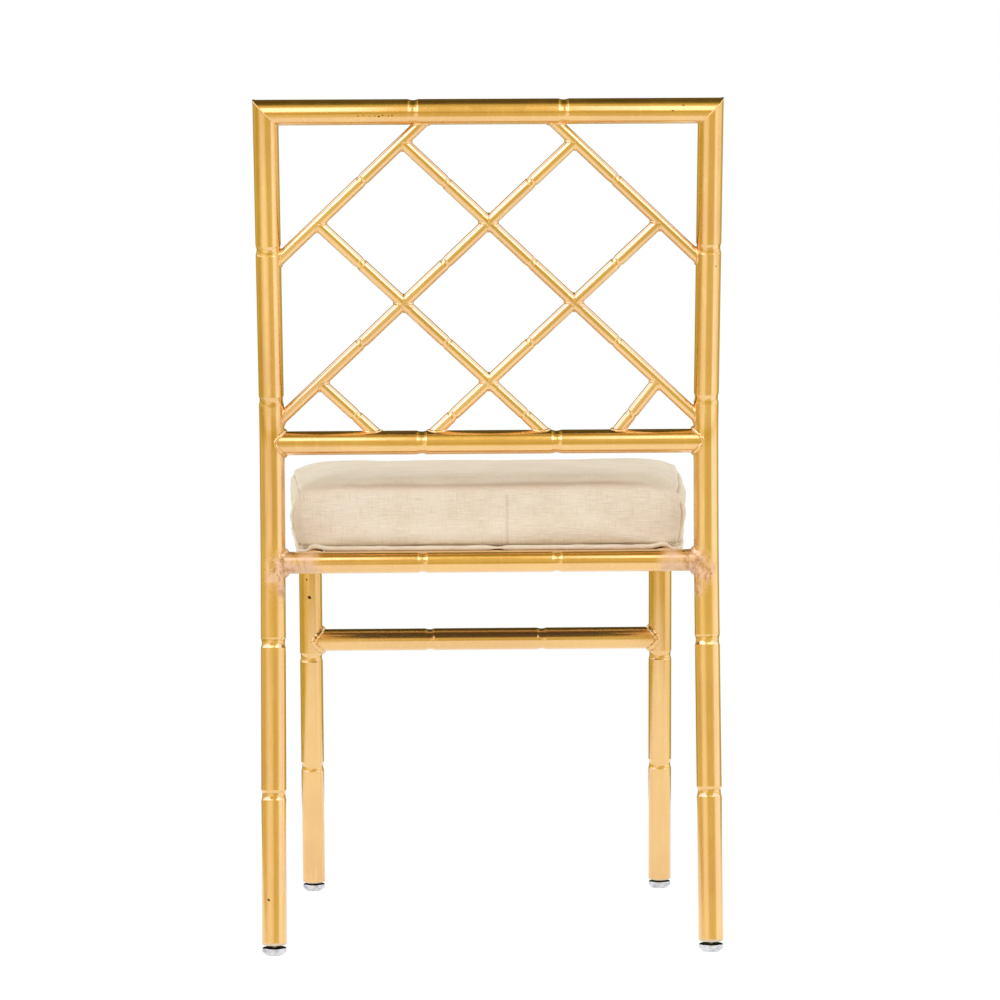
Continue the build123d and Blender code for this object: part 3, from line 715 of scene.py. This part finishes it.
def through_sleeve(builder, centre, direction):
    """Adds the slight swell of a tube that runs through a crossing, its ends sunk in the tube."""
    direction = direction.normalized()
    side = direction.orthogonal().normalized()
    other = direction.cross(side)
    rings = []
    for step in range(-SLEEVE_RINGS, SLEEVE_RINGS + 1):
        share = step / SLEEVE_RINGS
        radius = LATTICE_RADIUS + SLEEVE_RISE * (1 - share**2) - SLEEVE_SINK * share**8
        ring = []
        for angle in turns(SLEEVE_TURNS):
            outward = side * math.cos(angle) + other * math.sin(angle)
            ring.append(builder.verts.new(centre + direction * share * SLEEVE_HALF + outward * radius))
        rings.append(ring)
    bridge(builder, rings)
    builder.faces.new(rings[0][::-1])
    builder.faces.new(rings[-1])


def shade(mesh, material):
    """Shades a mesh smoothly and gives it one material."""
    for polygon in mesh.polygons:
        polygon.use_smooth = True
    mesh.materials.clear()
    mesh.materials.append(material)


def new_piece(name, builder, material, body):
    """Turns a bmesh into a piece that rides on a body."""
    mesh = bpy.data.meshes.new(name)
    bmesh.ops.recalc_face_normals(builder, faces=builder.faces)
    builder.to_mesh(mesh)
    builder.free()
    shade(mesh, material)
    piece = new_object(name, mesh)
    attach(piece, body)


def rail_beads(material):
    """The beads of the rails across the chair and of the seat frame."""
    builder = bmesh.new()
    upright = Vector((0, 0, 1))
    across = Vector((1, 0, 0))
    lean = math.radians(FRONT_LEG_LEAN)
    leg_axis = Vector((0, math.sin(lean), math.cos(lean)))
    seat_run = seat_place.to_3x3() @ Vector((0, -1, 0))
    for seed, side in enumerate(SIDES.values()):
        inward = Vector((-side, 0, 0))
        post = Vector((side * post_x, rear_rail.y, 0))
        start = Vector((side * post_x, lower_rail.y, lower_rail.z))
        cope_bead(builder, start, inward, lower_radius, post, upright, post_radius, RAIL_BEAD, seed)
        for rail, radius in ((stretcher, STRETCHER_RADIUS), (front_rail, seat_radius)):
            start = Vector((side * leg_x, rail.y, rail.z))
            cope_bead(builder, start, inward, radius, start, leg_axis, post_radius, SEAT_BEAD, seed + 5,
                      flat_share=0.7, lumps=0.5, spread=1.6)
        rear_end = Vector((side * side_rail_rear_x, rear_rail.y, rear_rail.z))
        front_end = Vector((side * leg_x, front_rail.y, front_rail.z))
        run = front_end - rear_end
        cope_bead(builder, rear_end, run, seat_radius, rear_end, across, seat_radius, RAIL_BEAD,
                  seed + 7, flat_share=0.1)
        cope_bead(builder, front_end, -run, seat_radius, front_end, leg_axis, post_radius, RAIL_BEAD,
                  seed + 9)
        mitre_bead(builder, side, seed + 11)
    new_piece("weld_beads_rails", builder, material, "frame")


def seat_beads(material):
    """The heavier, lumpy beads of the rear seat rail, which were touched up after welding."""
    builder = bmesh.new()
    for seed, side in enumerate(SIDES.values()):
        post = Vector((side * post_x, rear_rail.y, 0))
        start = Vector((side * post_x, rear_rail.y, rear_rail.z))
        inward = Vector((-side, 0, 0))
        cope_bead(builder, start, inward, seat_radius, post, Vector((0, 0, 1)), post_radius, SEAT_BEAD,
                  seed + 3, flat_share=0.45, lumps=0.55, spread=1.9)
    new_piece("weld_beads_seat", builder, material, "frame")


def lattice_beads(material):
    """The beads of the twelve lattice tubes, and the swells where tubes run through."""
    builder = bmesh.new()
    pitch_x = (post_x - LATTICE_SIDE_GAP) / 2
    pitch_up = (top_up - LATTICE_TOP_GAP - LATTICE_LOW_GAP) / 3
    slope = pitch_up / pitch_x
    low_up = (lower_rail.z - bend.z) / math.cos(rake)
    across = Vector((1, 0, 0))
    rising = Vector((pitch_x, 0, 0)) + up_back * pitch_up
    falling = Vector((-pitch_x, 0, 0)) + up_back * pitch_up
    top = (top_up, (top_rail, across, post_radius))
    low = (low_up, (lower_rail, across, lower_radius))

    def grid(column, row):
        return (column * pitch_x, LATTICE_LOW_GAP + row * pitch_up)

    def knot(column, row, direction=rising):
        point = grid(column, row)
        return (point, (back_point(*point), direction, LATTICE_RADIUS))

    def on_rail(column, row, lean, rail):
        x, up = grid(column, row)
        rail_up, carrier = rail
        return ((x + (rail_up - up) / (lean * slope), rail_up), carrier)

    def on_post(column, row, lean, side):
        x, up = grid(column, row)
        point = (side * post_x, up + (side * post_x - x) * lean * slope)
        return (point, (back_point(side * post_x, 0), up_back, post_radius))

    tubes = (
        (on_rail(1, 3, -1, top), on_post(2, 2, -1, 1)),
        (on_rail(-1, 3, 1, top), on_post(-2, 2, 1, -1)),
        (knot(1, 3, falling), on_post(0, 2, 1, -1)),
        (knot(2, 2, falling), on_rail(0, 0, 1, low)),
        (on_post(0, 2, -1, 1), knot(1, 1)),
        (knot(1, 1), knot(0, 2)),
        (knot(0, 2), knot(-1, 3)),
        (on_rail(0, 0, -1, low), knot(0, 0)),
        (knot(0, 0), knot(-1, 1)),
        (knot(-1, 1), knot(-2, 2)),
        (knot(2, 0, falling), on_rail(2, 0, 1, low)),
        (knot(-2, 0), ((grid(-2, 0)[0] + STEEP_STRUT_RUN, low_up), low[1])),
    )
    for crossing in ((1, 1), (0, 2), (0, 0), (-1, 1)):
        through_sleeve(builder, back_point(*grid(*crossing)), rising)
    joints = [pair for ends in tubes for pair in (ends, ends[::-1])]
    for seed, ((here, carrier), (there, _)) in enumerate(joints):
        start = back_point(*here)
        direction = back_point(*there) - start
        cope_bead(builder, start, direction, LATTICE_RADIUS, *carrier, LATTICE_BEAD, seed, 0.25)
    new_piece("weld_beads_lattice", builder, material, "frame")


def foot_lips(material):
    """The moulded lips under the plugs' flanges, which bring the slanting tube ends level above the feet."""
    builder = bmesh.new()
    for foot, lean in (("rear", -REAR_LEG_KICK), ("front", FRONT_LEG_LEAN)):
        angle = math.radians(lean)
        axis = Vector((0, math.sin(angle), math.cos(angle)))
        for side in SIDES:
            ball = middle(f"glide_base_{foot}_{side}")
            ball.z = BALL_HEIGHT
            end = ball + axis * ((TUBE_END - BALL_HEIGHT) / axis.z)
            rings = [[] for _ in LIP_RINGS]
            for turn in turns(LIP_TURNS):
                out = Vector((math.cos(turn), math.sin(turn), 0))
                for ring, (share, inset) in zip(rings, LIP_RINGS):
                    place = end + out * (LIP_RADIUS - inset)
                    under = end.z - FLANGE - out.y * LIP_RADIUS * math.tan(angle)
                    place.z = under + (min(LIP_LOW, under - LIP_THIN) - under) * share
                    ring.append(builder.verts.new(place))
            bridge(builder, rings)
            builder.faces.new(rings[0])
            builder.faces.new(rings[-1][::-1])
    new_piece("foot_lips", builder, material, "frame")


# Cushion

def cushion_corners(inset=0.0):
    """The four corners of the cushion's plan, in order round it."""
    rear = CUSHION_REAR - inset
    front = CUSHION_FRONT + inset
    rear_half = CUSHION_REAR_HALF - inset
    front_half = CUSHION_FRONT_HALF - inset
    return {
        "rear_left": Vector((rear_half, rear)),
        "rear_right": Vector((-rear_half, rear)),
        "front_right": Vector((-front_half, front)),
        "front_left": Vector((front_half, front)),
    }


def cushion_outline(inset):
    """The plan of the cushion as a closed list of points: drawn-in sides between rounded corners."""
    corners = list(cushion_corners(inset).values())
    centre = Vector((0, (CUSHION_REAR + CUSHION_FRONT) / 2))
    points = []
    for index, corner in enumerate(corners):
        before = (corners[index - 1] - corner).normalized()
        following = corners[(index + 1) % 4]
        after = (following - corner).normalized()
        radius = max(CUSHION_CORNER - inset * CORNER_TIGHTEN, CORNER_LEAST)
        arrive = corner + before * radius
        leave = corner + after * radius
        for step in range(OUTLINE_STEPS):
            share = step / OUTLINE_STEPS
            points.append(arrive * (1 - share) ** 2 + corner * 2 * share * (1 - share) + leave * share**2)
        side_end = following - after * radius
        inward = (centre - (leave + side_end) / 2).normalized()
        for step in range(3 * OUTLINE_STEPS):
            share = step / (3 * OUTLINE_STEPS)
            points.append(leave.lerp(side_end, share) + inward * CUSHION_DRAW * 4 * share * (1 - share))
    return points


def sag(x, y):
    """How far the cushion's bottom edge hangs beside the side rails, at the rear corners and in front."""
    depth = (y - CUSHION_REAR) / (CUSHION_FRONT - CUSHION_REAR)
    rail_edge = side_rail_rear_x + (leg_x - side_rail_rear_x) * depth + seat_radius
    front = EDGE_SAG * ramp(depth, 0.45, 0.85) * ramp(abs(x), rail_edge - 0.003, rail_edge + 0.002)
    rear = CORNER_SAG * ramp(depth, 0.2, 0.06) * ramp(abs(x), rail_edge - 0.006, rail_edge - 0.001)
    return front + rear


def corner_swell(side, share):
    """How far a rear corner swells sideways at a share of the cushion's height."""
    low, high = CORNER_SWELL_SPAN
    place = min(max((share - low) / (high - low), 0.0), 1.0)
    return CORNER_SWELLS[side] * math.sin(math.pi * place) ** 0.8


def slacken(point):
    """Lets the cushion's corners hang a little and its sides bulge above the middle of their height."""
    rise = point.z - CUSHION_BOTTOM
    share = min(max(rise / CUSHION_EDGE, 0.0), 1.0)
    drop = 0.0
    for name, corner in cushion_corners().items():
        drop += hump((point.xy - corner).length, (CORNER_DROPS[name], CORNER_DROP_REACH))
    side = "left" if point.x > 0 else "right"
    depth = (point.y - CUSHION_REAR) / (CUSHION_FRONT - CUSHION_REAR)
    along = math.sqrt(max(math.sin(math.pi * depth), 0.0))
    bulge = SIDE_BULGES[side] * math.sin(math.pi * share**1.6) * along
    bulge += hump(depth, (corner_swell(side, share), CORNER_SWELL_DEPTH))
    bulge += BOTTOM_FLARES[side] * (1 - share) ** 2
    bulge *= min(abs(point.x) / CUSHION_REAR_HALF, 1.0) ** 6
    hang = sag(point.x, point.y) * (1 - share)
    return Vector((point.x + math.copysign(bulge, point.x), point.y, point.z - drop * share - hang))


def cushion_base():
    """The cushion before it is filled: a slightly small closed form, level in the seat's frame."""
    edge = CUSHION_START_EDGE
    slices = [(CUSHION_BOTTOM + edge * share, CUSHION_START_INSET + inset) for share, inset in START_LEVELS]
    top_inset = CUSHION_START_INSET + START_LEVELS[-1][1]
    for share in START_TOP_SHARES:
        rise = CUSHION_START_CROWN * (1 - (1 - share) ** 3)
        slices.append((CUSHION_BOTTOM + edge + rise, top_inset + START_TOP_DRAW * share))
    builder = bmesh.new()
    loops = []
    for height, inset in slices:
        outline = [slacken(Vector((point.x, point.y, height))) for point in cushion_outline(inset)]
        loops.append([builder.verts.new(point) for point in outline])
    bridge(builder, loops)
    builder.faces.new(loops[0][::-1])
    builder.faces.new(loops[-1])
    mesh = bpy.data.meshes.new("cushion")
    builder.to_mesh(mesh)
    builder.free()
    return mesh


def evaluated_mesh(piece):
    """A piece's mesh with its modifiers applied."""
    graph = bpy.context.evaluated_depsgraph_get()
    return bpy.data.meshes.new_from_object(piece.evaluated_get(graph))


def apply_modifiers(piece):
    """Replaces a piece's mesh by its modified form and takes the modifiers off."""
    mesh = evaluated_mesh(piece)
    piece.modifiers.clear()
    old = piece.data
    piece.data = mesh
    bpy.data.meshes.remove(old)


def mesh_array(mesh, what="co"):
    """A mesh's points, or their normals, as an array."""
    flat = np.empty(len(mesh.vertices) * 3)
    mesh.vertices.foreach_get(what, flat)
    return flat.reshape(-1, 3)


def set_points(mesh, points):
    """Moves a mesh's points to the places in an array."""
    mesh.vertices.foreach_set("co", points.ravel())
    mesh.update()


def fill_cushion(piece):
    """Blows the cover up with cloth simulation, no point moving further than the cap."""
    start = mesh_array(piece.data)
    resting = piece.vertex_groups.new(name="resting")
    inner = [index for index, point in enumerate(start) if point[2] < CUSHION_BOTTOM + PIN_HEIGHT]
    resting.add(inner, 1.0, "REPLACE")
    cloth = piece.modifiers.new("fill", "CLOTH")
    for setting, value in CLOTH.items():
        setattr(cloth.settings, setting, value)
    cloth.settings.effector_weights.gravity = 0.0
    cloth.collision_settings.use_collision = False
    scene = bpy.context.scene
    for number in range(1, CUSHION_FRAMES + 1):
        scene.frame_set(number)
    mesh = evaluated_mesh(piece)
    moved = mesh_array(mesh) - start
    length = np.maximum(np.linalg.norm(moved, axis=1, keepdims=True), 1e-9)
    piece.modifiers.clear()
    piece.vertex_groups.clear()
    scene.frame_set(1)
    set_points(piece.data, start + moved * np.minimum(1.0, CUSHION_CAP / length))
    bpy.data.meshes.remove(mesh)


def seam_paths(tree):
    """The sewn lines on the cushion's surface: each side's top edge, each corner, and the rear join."""
    low = CUSHION_BOTTOM + SEAM_START
    high = CUSHION_BOTTOM + CUSHION_EDGE - SEAM_DEPTH
    corners = cushion_corners()
    upward = Vector((0, 0, 1))

    def look_out(origin, direction):
        return tree.ray_cast(origin, direction.normalized())[0]

    sewn = []
    for side, sign in SIDES.items():
        rear = corners["rear_" + side]
        front = corners["front_" + side]
        outward = Vector((sign, 0, 0))
        ends = []
        for corner, backward in ((rear, 1), (front, -1)):
            diagonal = Vector((sign, backward * SEAM_TURN, 0)).normalized()
            inner = Vector((*corner, 0)) - diagonal * 2 * SEAM_DEPTH
            path = []
            for height in np.linspace(low, high, SEAM_POINTS):
                share = (height - CUSHION_BOTTOM) / CUSHION_EDGE
                swell = corner_swell(side, share) if backward > 0 else 0.0
                path.append(look_out(inner + outward * swell + upward * height, diagonal))
            path.append(look_out(inner + upward * high, diagonal + upward))
            ends.append(path[-1])
            sewn.append(path)
        path = [ends[0]]
        for share in np.linspace(*SIDE_SEAM_SHARES):
            inner = Vector((*rear.lerp(front, share), high)) - outward * SEAM_DEPTH
            path.append(look_out(inner, outward + upward))
        sewn.append(path + [ends[1]])
    heights = np.linspace(low, CUSHION_BOTTOM + CUSHION_EDGE * JOIN_TOP, SEAM_POINTS)
    inner = [Vector((JOIN_X, CUSHION_REAR - JOIN_RAY_DEPTH, height)) for height in heights]
    return sewn, [look_out(origin, Vector((0, 1, 0))) for origin in inner]


def sample_path(path, spacing):
    """Points at an even spacing along a polyline, without its last point."""
    points = []
    for start, end in zip(path, path[1:]):
        count = max(1, round((end - start).length / spacing))
        points += [start.lerp(end, step / count) for step in range(count)]
    return points


def nearest_finder(places):
    finder = KDTree(len(places))
    for index, place in enumerate(places):
        finder.insert(place, index)
    finder.balance()
    return finder


def sew(piece):
    """Presses the seams into the cushion's surface, with small puckers beside them, and stores as point
    attributes the painted shade along them, above the hem and along the rear top roll.
    """
    mesh = piece.data
    points = mesh_array(mesh)
    normals = mesh_array(mesh, "normal")
    tree = BVHTree.FromPolygons([Vector(p) for p in points], [tuple(f.vertices) for f in mesh.polygons])
    sewn, rear_join = seam_paths(tree)
    seams = nearest_finder([place for path in sewn for place in sample_path(path, SEAM_STEP)])
    join = nearest_finder(sample_path(rear_join, SEAM_STEP))
    # Painted shade along the rear top roll: strongest in the middle, fading towards the sides.
    edge = Vector((CUSHION_REAR - ROLL_INSET, CUSHION_BOTTOM + CUSHION_EDGE + ROLL_RISE))
    seam_shade_levels = np.zeros(len(points))
    roll_shade = np.zeros(len(points))
    for index, point in enumerate(points):
        place = Vector(point)
        _, along, distance = seams.find(place)
        gap = join.find(place)[2]
        pucker = 0.5 + 0.5 * math.sin(along * SEAM_STEP / PUCKER_PITCH * 2 * math.pi)
        sink = hump(distance, SEAM_SINK) + pucker * hump(distance, SEAM_PUCKER)
        sink -= hump(distance - SEAM_LIP_PLACE, SEAM_LIP)
        sink += hump(gap, JOIN_SINK) - hump(gap - JOIN_LIP_PLACE, JOIN_LIP)
        points[index] -= normals[index] * sink
        over_hem = place.z - HEM_LEVEL - HEM_HALF_HEIGHT - HEM_SHADOW_RISE
        # Painted shade levels: along the seams, along the rear join, and a painted shadow just above the
        # hem.
        seam_shade_levels[index] = max(hump(distance, SEAM_SHADE), hump(gap, JOIN_SHADE), hump(over_hem, HEM_SHADOW))
        fade = 1 - min(abs(place.x) / CUSHION_REAR_HALF, 1.0) ** 4
        roll_shade[index] = hump((place.yz - edge).length, (fade, ROLL_WIDTH))
    for name, values in (("seam", seam_shade_levels), ("roll_shade", roll_shade)):
        mesh.attributes.new(name, "FLOAT", "POINT").data.foreach_set("value", values)
    set_points(mesh, points)


def rumple(piece):
    """Lets the cover lie loosely: slow swells all over, and folds that run in from the corners."""
    mesh = piece.data
    points = mesh_array(mesh)
    normals = mesh_array(mesh, "normal")
    top = CUSHION_BOTTOM + CUSHION_EDGE
    corners = [Vector((*corner, top)) for corner in cushion_corners().values()]
    for index, point in enumerate(points):
        place = Vector(point)
        if place.z < CUSHION_BOTTOM + FLAT_BELOW:
            continue
        swell = sum(depth * noise.noise(place * scale) for depth, scale in SWELLS)
        for corner in corners:
            away = place - corner
            fold = math.sin(FOLD_COUNT * math.atan2(away.y, away.x) + FOLD_TWIST * away.z)
            swell += fold * hump(away.length, FOLD)
        points[index] += normals[index] * swell
    set_points(mesh, points)


def settle(piece):
    """Flattens the cushion where it rests, and places it on the tilted seat."""
    mesh = piece.data
    points = mesh_array(mesh)
    rest = np.array([CUSHION_BOTTOM + REST_GAP - sag(point[0], point[1]) for point in points])
    points[:, 2] = np.maximum(points[:, 2], rest)
    points[:, 1] = np.minimum(points[:, 1], CUSHION_REAR + REAR_ROOM)
    set_points(mesh, points)
    mesh.transform(seat_place)
    mesh.update()


def cushion(material):
    """The seat cushion: filled, sewn, rumpled and set on the seat."""
    piece = new_object("seat_cushion", cushion_base())
    remesh = piece.modifiers.new("even", "REMESH")
    remesh.mode = "VOXEL"
    remesh.voxel_size = CUSHION_VOXEL
    apply_modifiers(piece)
    fill_cushion(piece)
    piece.modifiers.new("ease", "SMOOTH").iterations = EASE_STEPS
    piece.modifiers.new("smooth", "SUBSURF").levels = 2
    apply_modifiers(piece)
    rumple(piece)
    sew(piece)
    settle(piece)
    shade(piece.data, material)
    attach(piece, "cushion")
    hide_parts("cushion_cover", "cushion_foam")
    return piece


def hem(filled, material):
    """The folded welt round the filled cushion's bottom edge, pinched behind and at the two rear corners."""
    builder = bmesh.new()
    mesh = filled.data
    level_mesh = [seat_place.inverted() @ vertex.co for vertex in mesh.vertices]
    tree = BVHTree.FromPolygons(level_mesh, [tuple(face.vertices) for face in mesh.polygons])
    outline = cushion_outline(0.0)
    path = sample_path(outline + outline[:1], HEM_STEP)
    corners = cushion_corners()
    nip = HEM_NIP * CUSHION_CORNER
    pinches = [
        Vector((PINCH_X, CUSHION_REAR)),
        corners["rear_left"] - Vector((nip, nip)),
        corners["rear_right"] - Vector((-nip, nip)),
    ]
    rings = []
    for index, place in enumerate(path):
        along = (path[(index + 1) % len(path)] - path[index - 1]).normalized()
        outward = Vector((-along.y, along.x, 0))
        if outward.xy.dot(place - Vector((0, (CUSHION_REAR + CUSHION_FRONT) / 2))) < 0:
            outward = -outward
        distance = min((place - pinch).length for pinch in pinches)
        fullness = HEM_PINCHED + (1 - HEM_PINCHED) * ramp(distance, 0.0, HEM_PINCH_REACH)
        wave = noise.noise(Vector((place.x * HEM_WAVE_SCALE, place.y * HEM_WAVE_SCALE, 3.0)))
        high = HEM_HALF_HEIGHT * fullness * (1 + HEM_WAVE * wave)
        hang = sag(place.x - outward.x * HEM_INSET, place.y)
        level = HEM_LEVEL + HEM_WAVE_RISE * wave - hang
        if place.y > CUSHION_REAR - HEM_REAR_DEPTH:
            level += hump(abs(place.x) - side_rail_rear_x, (HEM_LIFT, HEM_LIFT_REACH)) - HEM_DROP
        centre = tree.find_nearest(Vector((*place, level + HEM_HALF_HEIGHT)))[0] - outward * HEM_TUCK
        ring = []
        for turn in range(HEM_TURNS):
            angle = 2 * math.pi * (turn + 0.5) / HEM_TURNS
            reach = math.cos(angle) * HEM_HALF_DEPTH
            height = level + math.sin(angle) * high
            if reach > 0:
                reach *= fullness
            else:
                reach *= HEM_FLANGE
                height = max(height, CUSHION_BOTTOM + HEM_CLEAR - hang)
            flat = centre + outward * reach
            ring.append(builder.verts.new((flat.x, flat.y, height)))
        rings.append(ring)
    bridge(builder, rings + rings[:1])
    bmesh.ops.transform(builder, matrix=seat_place, verts=builder.verts)
    new_piece("cushion_hem", builder, material, "cushion")


# Stage

def floor():
    """A plain white floor that keeps the chair's shadow."""
    builder = bmesh.new()
    bmesh.ops.create_circle(builder, cap_ends=True, segments=96, radius=FLOOR_RADIUS)
    mesh = bpy.data.meshes.new("floor")
    builder.to_mesh(mesh)
    builder.free()
    plane = new_object("floor", mesh)
    material = bpy.data.materials.new("floor")
    material.use_nodes = True
    look = Look(material.node_tree)
    look.tree.nodes.clear()
    paths = look.node("ShaderNodeLightPath").outputs
    seen = look.most(paths["Is Camera Ray"], paths["Is Glossy Ray"])
    seen = look.most(seen, paths["Is Transmission Ray"])
    plain = look.node("ShaderNodeBsdfDiffuse", {"Color": FLOOR_COLOUR}).outputs[0]
    soft = look.node("ShaderNodeBsdfDiffuse", {"Color": FLOOR_SHADOW}).outputs[0]
    glow = look.node("ShaderNodeEmission", {"Color": WHITE, "Strength": FLOOR_GLOW}).outputs[0]
    white = look.node("ShaderNodeAddShader", {0: soft, 1: glow}).outputs[0]
    shader = look.node("ShaderNodeMixShader", {0: seen, 1: plain, 2: white}).outputs[0]
    look.node("ShaderNodeOutputMaterial", {"Surface": shader})
    mesh.materials.append(material)


def studio():
    """The room's light by bearing from the camera and height: soft boxes, dark ceiling, dark far end."""
    world = bpy.data.worlds.new("studio")
    bpy.context.scene.world = world
    world.use_nodes = True
    look = Look(world.node_tree)
    look.tree.nodes.clear()
    x, y, z = look.split(look.coordinates("Generated"))
    bearing = look.math("DEGREES", look.math("ARCTAN2", look.times(x, -1.0), y))
    around = look.math("ABSOLUTE", bearing)
    height = look.math("DEGREES", look.math("ARCSINE", z))

    def band(turn, inner, outer):
        return look.span(look.math("ABSOLUTE", look.minus(bearing, turn)), inner, outer, 1.0, 0.0)

    def slab(rises, falls, gain):
        return look.times(look.span(height, *rises), look.span(height, *falls, gain, 0.0))

    level = ROOM_LEVEL
    for turn, inner, outer, rises, falls, gain in SOFT_BOXES:
        level = look.plus(level, look.times(band(turn, inner, outer), slab(rises, falls, gain)))
    low_band = slab(LOW_BAND_RISE, LOW_BAND_FALL, 1.0)
    level = look.times(level, look.span(low_band, 0.0, 1.0, 1.0, LOW_BAND, "LINEAR"))
    level = look.times(level, look.span(around, *FAR_END_BEARINGS, 1.0, FAR_END))
    slot = look.times(look.span(around, *FAR_SLOT_BEARINGS), look.span(height, *FAR_SLOT_HEIGHTS))
    level = look.times(level, look.span(slot, 0.0, 1.0, 1.0, FAR_SLOT, "LINEAR"))
    level = look.times(level, look.span(height, *CEILING_HEIGHTS, 1.0, CEILING))
    paths = look.node("ShaderNodeLightPath").outputs
    tint = look.mix(look.span(level, *DIM_LEVELS), DIM_TINT, WHITE)
    tint = look.mix(look.span(level, *BRIGHT_LEVELS), tint, BRIGHT_TINT)
    tint = look.mix(paths["Is Glossy Ray"], WHITE, tint)
    strength = look.most(level, paths["Is Camera Ray"])
    background = look.node("ShaderNodeBackground", {"Color": tint, "Strength": strength}).outputs[0]
    look.node("ShaderNodeOutputWorld", {"Surface": background})


def lamp(name, place, target, size, level, glossy=False, colour=(1.0, 1.0, 1.0)):
    """A soft area lamp aimed at a place; its level is the brightness of its face, white being 1."""
    data = bpy.data.lights.new(name, "AREA")
    data.shape = "RECTANGLE"
    data.size, data.size_y = size
    data.energy = level * math.pi * size[0] * size[1]
    data.color = colour
    made = new_object(name, data)
    made.location = place
    made.rotation_mode = "QUATERNION"
    made.rotation_quaternion = (Vector(target) - Vector(place)).to_track_quat("-Z", "Y")
    made.visible_camera = False
    made.visible_glossy = glossy


def panels():
    """Upright panels beside the lens, with a gap for the camera to look through."""
    x = (PANEL_INNER + PANEL_OUTER) / 2
    for row, (low, high, levels) in PANELS.items():
        z = (low + high) / 2
        size = (PANEL_OUTER - PANEL_INNER, high - low)
        for name, side in SIDES.items():
            place = (side * x, PANEL_Y, z)
            lamp(f"panel_{row}_{name}", place, (side * x, 0, z), size, levels[name], True, PANEL_COLOUR)


def camera():
    """The photograph's camera."""
    data = bpy.data.cameras.new("camera")
    data.lens = CAMERA_LENS
    data.sensor_width = 36.0
    made = new_object("camera", data)
    yaw = math.radians(CAMERA_YAW)
    pitch = math.radians(CAMERA_PITCH)
    forward = Vector((math.sin(yaw) * math.cos(pitch), -math.cos(yaw) * math.cos(pitch), -math.sin(pitch)))
    made.location = CAMERA_PLACE
    made.rotation_mode = "QUATERNION"
    level = forward.to_track_quat("-Z", "Y")
    made.rotation_quaternion = level @ Quaternion((0, 0, 1), math.radians(CAMERA_ROLL))
    bpy.context.scene.camera = made


bpy.context.scene.view_settings.view_transform = "Standard"

weld_places = []
for side in SIDES.values():
    for inward, rearward, up, reach, dirt in WELD_PATCHES:
        place = (side * (post_x - inward), rear_rail.y + rearward, rear_rail.z + up)
        weld_places.append((place, reach, dirt))
chips = [((x, z), reach) for x, z, reach in CHIPS]
for along, up, reach in SCRATCHES:
    chips.append(((SCRATCH_START[0] + along, SCRATCH_START[1] + up), reach))
gold = gold_finish("gold_steel", chips=chips)
gold_touched = gold_finish("gold_steel_touched", weld_places, chips)
gold_weld = gold_finish("gold_steel_weld", rough=0.06)
gold_lattice = gold_finish("gold_steel_lattice", lacquer=2.75)
nylon = nylon_finish()
hook_tape = tape_finish("hook_tape", srgb(30, 28, 26), srgb(74, 70, 64), 0.0013, 0.0006)
loop_tape = tape_finish("loop_tape", srgb(170, 152, 124), srgb(208, 192, 164), 0.0017, 0.0005)
node_looks = (
    (("top_rail", "lower_back", "front_", "side_seat", "leg_top", "seat_tabs"), gold),
    (("rear_post", "rear_seat_rail"), gold_touched),
    (("lattice",), gold_lattice),
    (("glide_base",), plated_finish()),
    (("glide_studs", "panel_screws"), zinc_finish()),
    (("glide_plugs",), nylon),
    (("seat_panel",), plywood_finish()),
    (("hook_strips",), hook_tape),
    (("loop_strips",), loop_tape),
)
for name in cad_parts:
    for starts, material in node_looks:
        if name.startswith(starts):
            dress(name, material)

rail_beads(gold_weld)
seat_beads(gold_touched)
lattice_beads(gold_lattice)
foot_lips(nylon)
linen = linen_finish()
hem(cushion(linen), linen)

floor()
studio()
lamp("ceiling_fill", (0, 0.2, 2.6), (0, 0, 0.4), (2.4, 2.4), 0.66)
lamp("rear_fill", (-0.2, 3.4, 1.3), (0, 0, 0.45), (2.0, 1.4), 1.3)
for name, side in SIDES.items():
    lamp(f"side_fill_{name}", (side * 2.2, -0.1, 0.9), (0, 0, 0.45), (1.4, 1.4), 0.9)
panels()
camera()
